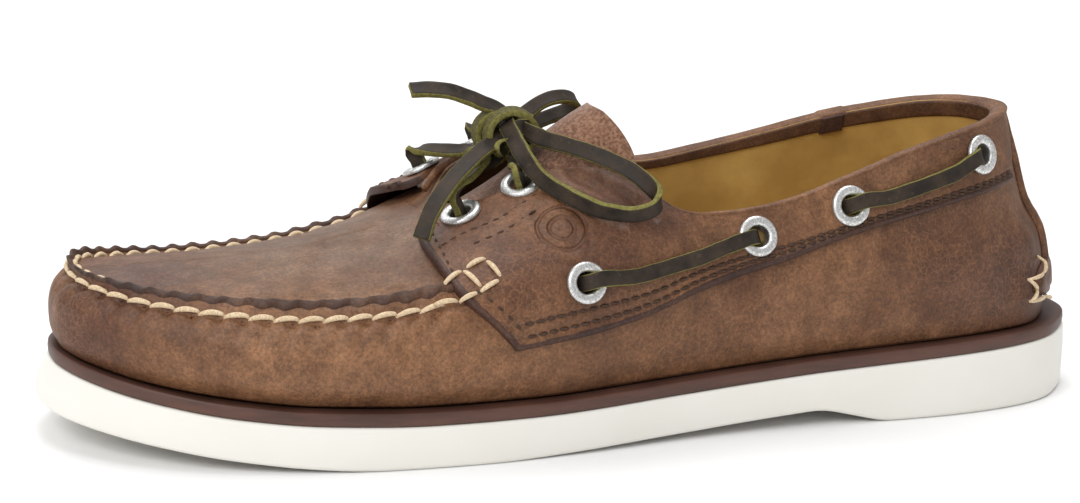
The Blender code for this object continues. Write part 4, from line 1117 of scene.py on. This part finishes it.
def make_bands():
    for side, word in ((-1, "lateral"), (1, "medial")):
        count = max(int(260 * FINE), 20)
        i = (1 - np.cos(np.linspace(0, math.pi, count))) / 2 * 0.35 + np.linspace(0, 1, count) * 0.65
        j = np.concatenate([np.linspace(0, 0.3, 64), np.linspace(0.31, 0.9, int(40 * FINE)),
                            np.linspace(0.91, 1, 10)])
        i, j = np.meshgrid(i, j, indexing="ij")
        u, v = BAND_UV[side](i, j)
        front, _, low, high = gaps(bare(u, v))
        edge = rounded(np.minimum(low, front), 1.1) * rounded(high, 0.9)
        rows = [np.interp(i, *zip(*row)) for row in (LOW_ROW, HIGH_ROW)]
        fold = 0.42 * np.exp(-((np.minimum(low, front + 0.6) - 1.5) / 1.0) ** 2)
        troughs = sum(-0.28 * np.exp(-((low - row) / 0.7) ** 2) for row in rows)
        height = BAND_GAP + (OVERLAY + fold + troughs) * edge
        outer = on_band(side, u, v, height)
        if side < 0:
            for *line, depth, wide in BAND_WRINKLES:
                route = smooth_at(line, np.linspace(0, 2, 13))
                away = np.full(u.shape, 1e9)
                for a, b in zip(route, route[1:]):
                    t = np.clip(((outer[..., ::2] - a) @ (b - a)) / ((b - a) @ (b - a)), 0, 1)
                    away = np.minimum(away, np.linalg.norm(outer[..., ::2] - a - t[..., None]
                                                           * (b - a), axis=-1))
                outer += outward(u, v) * (depth * (0.7 * np.exp(-((away - 1.5 * wide) / wide) ** 2)
                                                   - np.exp(-(away / wide) ** 2)) * edge)[..., None]
        if side < 0:
            away = np.linalg.norm(outer[..., ::2] - MARK_AT, axis=-1)
            ring = sum(np.exp(-((away - r) / 0.6) ** 2) for r in MARK_RINGS)
            outer -= outward(u, v) * (0.5 * ring)[..., None]
        inner = on_band(side, u, v, np.full(u.shape, 0.25), uneven=False)
        _, faces = two_skins(outer, inner)
        rim = np.concatenate([(np.minimum(low, front) < 2.4).ravel(), np.ones(low.size, bool)])
        # Faces along the two stitch rows take the darker hide: painted shade in the stitch troughs.
        near_row = np.minimum(*(np.abs(low - row) for row in rows)) < 0.55
        groove_shade = np.concatenate([near_row.ravel(), np.zeros(low.size, bool)])
        marks = [1 if rim[f[0]] and rim[f[2]] else 2 if groove_shade[f[0]] and groove_shade[f[2]] else 0
                 for f in faces]
        made = skin_piece(f"band_{word}_hide", outer, inner, [BAND_HIDE, EDGE_HIDE, SHADED_HIDE],
                          "upper_leather", [f"collar_band_{word}"], marks=marks)
        drill(made)
        make_band_stitches(side, word)


def make_band_stitches(side, word):
    parts = []
    for row, start in ((LOW_ROW, 0.035), (HIGH_ROW, 0.045)):
        def surface(t, row=row, start=start):
            i = start + (0.995 - start) * t
            u, v = BAND_UV[side](i, band_j(side, i, np.interp(i, *zip(*row))))
            return on_band(side, u, v, np.full(u.shape, BAND_GAP + OVERLAY - 0.12)), outward(u, v)
        parts += stitch_row(surface, 3.1, 2.35, 0.42, 0.14, 0.16, 0.4)
    # The row turns up the front edge, and two more run over the quarter from the eyelets.
    for route in ([(9.05, 1.75), (8.6, 2.4), (8.25, 2.85)], [(7.88, 3.78), (8.8, 4.12), (9.7, 4.37)],
                  [(8.43, 3.7), (9.0, 3.86), (9.62, 4.03)],
                  [(7.95, 3.2), (7.88, 3.78), (7.85, 4.3)]):
        def surface(t, route=route):
            u, v = smooth_at(route, 2 * t).T
            u = u if side < 0 else ROUND - u
            return on_band(side, u, v, np.full(u.shape, BAND_GAP + OVERLAY - 0.12)), outward(u, v)
        parts += stitch_row(surface, 3.1, 2.2, 0.36, 0.12, 0.12, 0.4)
    stitch_piece(f"band_{word}_stitches", parts, TONAL)


def make_bead():
    """The dark gathered edge of the wall that stands up along the moccasin seam."""
    last = THROAT_RIB + 0.05
    u = spread((-last, last, 1500))
    s = seam_run(u)
    side = np.where(u % ROUND < RIBS, 1, -1)
    turn = math.tau * s / SEAM_PITCH * side
    pinch = 0.5 + 0.5 * np.cos(turn)
    draw = np.random.default_rng(29)
    uneven = sum(np.sin(s / a + draw.uniform(0, 6)) for a in (3.1, 5.7, 11.0, 17.0)) / 4
    end = rounded((last - np.abs(u)) * 12, 5.0)
    rings = []
    for a in np.linspace(0, math.tau, 16, endpoint=False):
        lean = 0.5 + 0.5 * np.cos(turn - 0.9 * math.cos(a))
        wide = (1.75 + 0.25 * uneven - 0.55 * pinch) * end
        high = (1.1 + 0.25 * uneven + 0.8 * lean**2) * end
        v = SHOULDER + 0.06 + wide * math.cos(a) / 12.0
        rings.append(bare(u, v) + outward(u, v) * (0.85 + high * math.sin(a))[:, None])
    mesh_piece("seam_bead", *tube(np.stack(rings, 1)), BEAD_HIDE, "upper_leather")


def make_vamp_stitches():
    """The cream hand stitches that gather the vamp wall to the plug, on both sides of the bead."""
    total = SEAM_RUN[-1]
    parts = []
    end = float(seam_run(THROAT_RIB - 0.12))
    count = int(end / SEAM_PITCH)
    for side in (-1, 1):
        for k in range(count):
            run = (k + 0.5) * SEAM_PITCH
            for level, share, rise in ((-0.27, 0.53, 0.75), (0.31, 0.46, 0.75)):
                ends = []
                for slip in (-share, share):
                    s = run + slip * SEAM_PITCH * (1.0 if level < 0 else 0.92)
                    if side > 0:
                        s = total - s
                    u = np.interp(s, SEAM_RUN, SEAM_U)
                    tilt = 0.05 * slip * (1 if level < 0 else -1)
                    ends.append((u, SHOULDER + level + tilt))
                if level > 0 and not (side > 0 or k < 3):
                    continue
                (u0, v0), (u1, v1) = ends
                a, b = on_upper(np.array([u0, u1]), np.array([v0, v1]), 0.05)
                out = outward(np.array((u0 + u1) / 2), np.array((v0 + v1) / 2))
                parts.append(stitch(a, b, out, 0.74, rise, 0.7))
    stitch_piece("vamp_stitches", parts, CREAM)


def make_heel():
    """The strap up the heel, the round patch low on it and the patch's star of stitches."""
    i, j = np.meshgrid(np.linspace(0, 1, 34), np.linspace(0, 1, 80), indexing="ij")
    u, v = RIBS + (2 * i - 1) * (0.62 - 0.1 * j), 1.2 + 3.77 * j
    edge = rounded(np.minimum.reduce(gaps(bare(u, v))), 1.1)
    skin_piece("back_strap_hide", on_upper(u, v, GAP + OVERLAY * edge + 0.1 * waves(u, v, 9, 15)),
               on_upper(u, v, np.full(u.shape, 0.05)), BAND_HIDE, "upper_leather",
               ["back_strap"])
    # The round patch low on the heel, as rings about its middle.
    ring, turn = np.meshgrid(np.linspace(0, 1, 22), np.linspace(0, math.tau, 64, endpoint=False),
                             indexing="ij")
    u = RIBS + 1.25 * ring * np.cos(turn)
    v = 1.12 + 0.46 * ring * np.sin(turn)
    height = GAP + 2.3 * np.sqrt(np.maximum(1 - ring**6, 0))
    height = height - 0.5 * np.exp(-((ring - 0.72) / 0.10) ** 2)
    outer = on_upper(u, v, height)
    inner = on_upper(u, v, np.full(u.shape, 0.05))
    skin_piece("heel_patch_hide", outer, inner, HIDE, "upper_leather", ["heel_patch"],
               closed=True)
    parts = []
    near = [(18.95, 1.62), (18.9, 1.38), (18.45, 1.38), (18.68, 1.12), (18.5, 0.88), (18.95, 0.86),
            (19.3, 0.62)]
    corners = near + [(ROUND - a, b) for a, b in near[::-1]]
    for (u0, v0), (u1, v1) in zip(corners, corners[1:] + corners[:1]):
        a, b = on_upper(np.array([u0, u1]), np.array([v0, v1]), 2.7)
        parts.append(stitch(a, b, outward(np.array(u0), np.array(v0)), 0.6, 0.35, 0.7))
    stitch_piece("heel_stitches", parts, CREAM)


OVERLAP_U = (23.55, 24.0)  # rib places between which the collar's facing is double


def make_collar():
    """The rolled edge over the collar's top, and the facing inside it."""
    u = spread((8.35, 31.65, 420))
    top = bare(u, np.full(u.shape, float(TOP)))
    out = outward(u, np.full(u.shape, TOP - 0.02))
    _, up, _ = frames_along(top, bare(u, TOP) - bare(u, TOP - 0.1))
    lift = np.where(u < RIBS, flap_lift(-1, u), flap_lift(1, u))
    strap_near = np.exp(-((u - RIBS) / 0.8) ** 2) * 0.3
    angles = np.linspace(0, math.tau, 18, endpoint=False)
    full = np.clip((near_toe(u) - 9.4) / 2.2, 0, 1)
    full = 0.5 + 0.5 * full**2 * (3 - 2 * full)
    half = ((OVERLAY + BAND_GAP + WALL) / 2 + 0.2) * full + strap_near
    middle = top + out * ((OVERLAY + BAND_GAP - WALL) / 2 + lift)[:, None] + up * -0.5
    rough = 0.12 * waves(u, np.full(u.shape, 5.0), 10, 19)
    double = 0.35 * ((u > OVERLAP_U[0]) & (u < OVERLAP_U[1]))
    half, rough = half + double, rough + double
    rings = [middle[k] + [out[k] * math.cos(a) * half[k]
                          + up[k] * math.sin(a) * (1.0 + rough[k]) * full[k] for a in angles]
             for k in range(len(u))]
    mesh_piece("collar_roll", *tube(rings), BAND_HIDE, "upper_leather")
    u, v = np.meshgrid(spread((8.6, 31.4, 300)), np.linspace(4.55, 4.99, 9), indexing="ij")
    skins = [bare(u, v) + outward(u, v) * (-off - 0.05 * waves(u, v, 12, 17))[..., None]
             for off in (WALL + 0.75, WALL - 0.2)]
    _, _, low, _ = gaps(skins[1])
    skins[0] += outward(u, v) * (0.6 * (1 - rounded(low, 0.8)))[..., None]
    # The facing takes the darker hide: painted shade inside the collar.
    skin_piece("collar_facing", *skins, SHADED_HIDE, "upper_leather")
    # The facing's two ends overlap on the medial side.
    u, v = np.meshgrid(np.linspace(*OVERLAP_U, 24), np.linspace(4.5, 4.99, 20), indexing="ij")
    front, back, low, _ = gaps(bare(u, v))
    edge = rounded(np.minimum(np.minimum(front, back), low), 0.8)
    skins = [bare(u, v) - outward(u, v) * off[..., None]
             for off in (WALL + 0.7 + 0.75 * edge, np.full(u.shape, WALL + 0.3))]
    skin_piece("facing_overlap", *skins, EDGE_HIDE, "upper_leather")


def make_tongue():
    """A tab from under the plug up through the throat, its sides turned down and back."""
    centre = [(-62, 0, 47.4), (-46, 0, 52.2), (-33, 0, 57.6), (-20.5, 0, 65.6),
              (-10.8, 0, 75.4), (2, 0, 84.2)]
    half = [(19,), (19,), (18.5,), (19.5,), (21,), (7,)]
    last = len(centre) - 1
    i = np.concatenate([np.linspace(0, 0.85, int(90 * FINE), endpoint=False),
                        1 - 0.15 * np.linspace(1, 0, int(40 * FINE)) ** 1.6])
    b = np.sin(np.linspace(-math.pi / 2, math.pi / 2, int(90 * FINE)))
    mid = smooth_at(centre, i * last)
    ahead = smooth_at(centre, np.minimum(i * last + 0.05, last)) - smooth_at(
        centre, np.maximum(i * last - 0.05, 0))
    wide = smooth_at(half, i * last)[:, 0]
    tip = np.maximum(1 - (np.maximum(i - 0.8, 0) / 0.204) ** 2, 0)
    wide = np.where(i > 0.8, np.maximum(21.5 * tip**0.38, 3.2), wide)
    curl = np.clip((i - 0.55) / 0.3, 0, 1)
    lean = np.stack([2.5 + 11 * curl, 0 * curl, -6.5 - 2 * curl], 1)
    up = unit(-np.cross(ahead, (0, 1, 0)))
    grid = (mid[:, None] + b[None, :, None] * wide[:, None, None] * np.array((0, 1, 0))
            + lean[:, None] * (b[None, :, None] * wide[:, None, None] / 20) ** 2)
    _, ends, left, right = gaps(grid)
    edge = rounded(np.minimum(np.minimum(left, right), ends), 1.4)
    rim = 0.35 * np.exp(-((np.minimum(np.minimum(left, right), ends) - 1.6) / 0.9) ** 2)
    x, y = grid[..., 0], grid[..., 1]
    soft = 0.45 * np.sin(x / 5.2 + y / 9) * np.sin(y / 6.5 + 1) + 0.25 * np.sin(x / 2.6 - y / 4.1)
    height = 0.2 + (0.9 + rim) * edge + soft * 0.55 * np.clip(i / 0.3, 0, 1)[:, None]
    skin_piece("tongue_suede", grid + up[:, None] * height[..., None],
               grid - up[:, None] * (0.2 + 0.9 * edge - 0.55 * soft)[..., None], SUEDE,
               "tongue_suede", ["tongue"])


# ---------------------------------------------------------------- sole

def slab(name, levels, finish, slot, swap, count=150):
    """A closed plate of stacked outlines, bottom to top: inset, height function, how far the toe is
    drawn back."""
    count = int(count * FINE)
    rings = []
    for inset, height, drawn in levels:
        lateral, medial = outline(-1, inset, count), outline(1, inset, count)
        ring = np.vstack([lateral, medial[-2:0:-1]])
        ring[:, 0] += drawn * np.clip((-ring[:, 0] - 90) / 60, 0, 1) ** 2
        rings.append(np.column_stack([ring, height(ring[:, 0])]))
    size = 2 * count
    rings = np.array(rings)
    faces = [tuple(f) for f in grid_faces(len(levels), size, closed=True)]
    for start in (0, (len(levels) - 1) * size):
        faces += [(start + k, start + k + 1, start + size - k - 1, start + size - k)
                  for k in range(1, count - 1)]
        faces += [(start, start + 1, start + size - 1),
                  (start + count, start + count - 1, start + count + 1)]
    points = rings.reshape(-1, 3)
    made = mesh_piece(name, points, turned_out(points, faces), finish, slot, swap)
    weld(made)
    made.data.set_sharp_from_angle(angle=math.radians(50))
    return made


def under(x):
    return smooth_heights(UNDERSIDE, x)


def smooth_heights(rows, x, soft=3.0):
    """A side profile with its corners eased over a few millimetres."""
    return sum(profile(rows, x + d * soft) for d in (-1, -0.5, 0, 0.5, 1)) / 5


def upper_side(x):
    return smooth_heights(SOLE_TOP, x, 6.0)


def raised(base, by):
    return lambda x: base(x) + by


def corner(inset, base, wide, turn, drawn, rise):
    """Levels of a rounded rim: turn +1 going out and up, -1 going in and up."""
    made = []
    for a in np.radians((0, 22, 45, 68, 90)):
        side, up = ((1 - math.sin(a)), (1 - math.cos(a))) if turn > 0 else (
            (1 - math.cos(a)), math.sin(a))
        made.append((inset + wide * side, raised(base, rise + wide * up), drawn))
    return made


def make_sole():
    slab("outsole_body", [
        (6.8, under, 0), (6.5, raised(under, 1.4), 0), (5.1, raised(under, 1.5), 0),
        (3.7, raised(under, 1.4), 0), (3.4, under, 0),
        *corner(0.05, under, 1.3, 1, 0, 0.0), (-0.02, raised(under, 4), 0),
        (0.0, raised(upper_side, -6), 0.6), (0.15, raised(upper_side, -3), 1.7),
        *corner(0.3, raised(upper_side, -0.9), 0.9, -1, TOE_FLARE, 0.0),
        (9.0, upper_side, TOE_FLARE)], RUBBER, "outsole_rubber", ["outsole"])
    top = raised(upper_side, GAP * 0.4)
    slab("midsole_strip", [
        (9.5, top, TOE_FLARE), *corner(0.75, top, 0.7, 1, TOE_FLARE, 0.0),
        (0.62, raised(top, MIDSOLE * 0.5), TOE_FLARE),
        *corner(0.75, raised(top, MIDSOLE - 0.7), 0.7, -1, TOE_FLARE, 0.0),
        (3.4, raised(top, MIDSOLE + 0.05), TOE_FLARE), (4.4, raised(top, MIDSOLE - 0.3), TOE_FLARE),
        (9.5, raised(top, MIDSOLE), TOE_FLARE)], MID, "midsole_leather", ["midsole"])
    base = raised(upper_side, GAP * 2 + MIDSOLE)
    inset = SOLE_INSET + WALL + 0.7
    slab("footbed", [
        (inset + 0.6, base, 0), (inset, raised(base, 0.6), 0),
        *corner(inset, raised(base, INSOLE - 1.0), 1.0, -1, 0, 0.0),
        (inset + 7, raised(base, INSOLE - 0.2), 0), (inset + 16, raised(base, INSOLE - 0.9), 0)],
        FOOTBED, "insole_leather", ["insole"], 90)
    make_tread()


def make_tread():
    """The wavy razor cuts of the underside, as one thin sheet with narrow valleys."""
    pitch, cut, deep, skin = 4.6, 0.5, 1.0, 0.12
    starts = np.arange(-134, 136, pitch)
    x = np.concatenate([[s, s + 0.12, s + cut - 0.12, s + cut] for s in starts] + [[136.5]])
    drop = np.concatenate([[0, deep, deep, 0] for _ in starts] + [[0]])
    line = {side: outline(side, 9.0, 120) for side in (-1, 1)}
    t = np.linspace(-1, 1, int(110 * FINE))
    rings = []
    for a, d in zip(x, drop):
        low, high = (np.interp(a, *line[side].T) for side in (-1, 1))
        y = low + (high - low) * (t + 1) / 2
        calm = np.clip((1 - np.abs(t)) / 0.06, 0, 1)
        wave = a + 1.5 * np.sin(y * math.tau / 9.0) * calm
        rings.append(np.stack([wave, y, under(wave) + 0.02 + d * np.clip((1 - np.abs(t)) / 0.03, 0,
                                                                       1)], 1))
    low = np.array(rings)
    low[..., 2] = np.maximum(low[..., 2] - skin, 0.0)
    high = low + (0, 0, 1.6)
    skin_piece("outsole_tread", low, high, RUBBER, "outsole_rubber").data.shade_flat()
    parts = []
    for side in (-1, 1):
        edge = even(outline(side, 5.1, 200)[6:-6], 400)

        def surface(t, edge=edge):
            at = np.stack([np.interp(t, np.linspace(0, 1, len(edge)), c) for c in edge.T], 1)
            points = np.column_stack([at, under(at[:, 0]) + 1.3])
            return points, np.tile((0, 0, -1.0), (len(at), 1))
        parts += stitch_row(surface, 5.2, 3.8, 0.6, 0.1, 0.2, 0.4)
    stitch_piece("outsole_stitches", parts, CREAM, "outsole_rubber")


# ---------------------------------------------------------------- eyelets and edge stitches

def lathe(centre, axis, section, count=40):
    side, across, axis = basis(axis)
    angles = np.linspace(0, math.tau, count, endpoint=False)
    ring = np.cos(angles)[:, None] * side + np.sin(angles)[:, None] * across
    points = np.concatenate([centre + ring * r + axis * h for r, h in section])
    faces = [tuple(f) for f in grid_faces(len(section), count, closed=True)]
    last = (len(section) - 1) * count
    faces += [(last + c, last + (c + 1) % count, (c + 1) % count, c) for c in range(count)]
    return points, turned_out(points, faces)


def make_eyelets():
    crown = [(EYELET_HOLE_R + 0.05 + (EYELET_R - EYELET_HOLE_R) / 2 * (1 - math.cos(a)),
              0.35 + 1.15 * math.sin(a) ** 0.7) for a in np.linspace(0.12, math.pi - 0.02, 13)]
    for name, (at, axis, _) in EYELETS.items():
        # The side eyelets end in the channel between the hide and the lining.
        deep = -4.2 if name.startswith("throat") else -3.0
        section = [(EYELET_HOLE_R, h) for h in (deep, deep / 2, 0.2)] + crown + [
            (EYELET_R, 0.1), (BARREL_R, 0.1), (BARREL_R, deep)]
        points, faces = lathe(at, axis, section)
        made = mesh_piece(f"ring_{name}", points, faces, SILVER, "eyelet_metal",
                          [f"eyelet_{name}"])
        made.data.set_sharp_from_angle(angle=math.radians(55))


# The cream stitches that box in the end of the moccasin seam, as pairs of rib places.
BOX = [((7.68, 3.07), (8.12, 3.25)), ((8.15, 3.25), (8.4, 2.85)), ((8.22, 3.28), (8.62, 3.4)),
       ((8.62, 3.35), (8.8, 2.98)), ((8.75, 2.92), (8.35, 2.75)), ((8.3, 2.75), (7.93, 2.65)),
       ((7.88, 2.68), (7.38, 2.72))]


def make_box_stitches():
    parts = []
    for side in (-1, 1):
        for (u0, v0), (u1, v1) in BOX:
            us = np.array([u0, u1]) if side < 0 else ROUND - np.array([u0, u1])
            a, b = on_band(side, us, np.array([v0, v1]), np.full(2, BAND_GAP + OVERLAY + 0.1))
            out = outward(us.mean(), np.array((v0 + v1) / 2))
            parts.append(stitch(a, b, out, 0.72, 0.5, 0.8))
    stitch_piece("box_stitches", parts, CREAM)


make_camera()
make_cords()
make_knot()
make_crossings()
make_side_laces()
make_upper()
make_bands()
make_bead()
make_vamp_stitches()
make_box_stitches()
make_heel()
make_collar()
make_tongue()
make_sole()
make_eyelets()
make_stage()
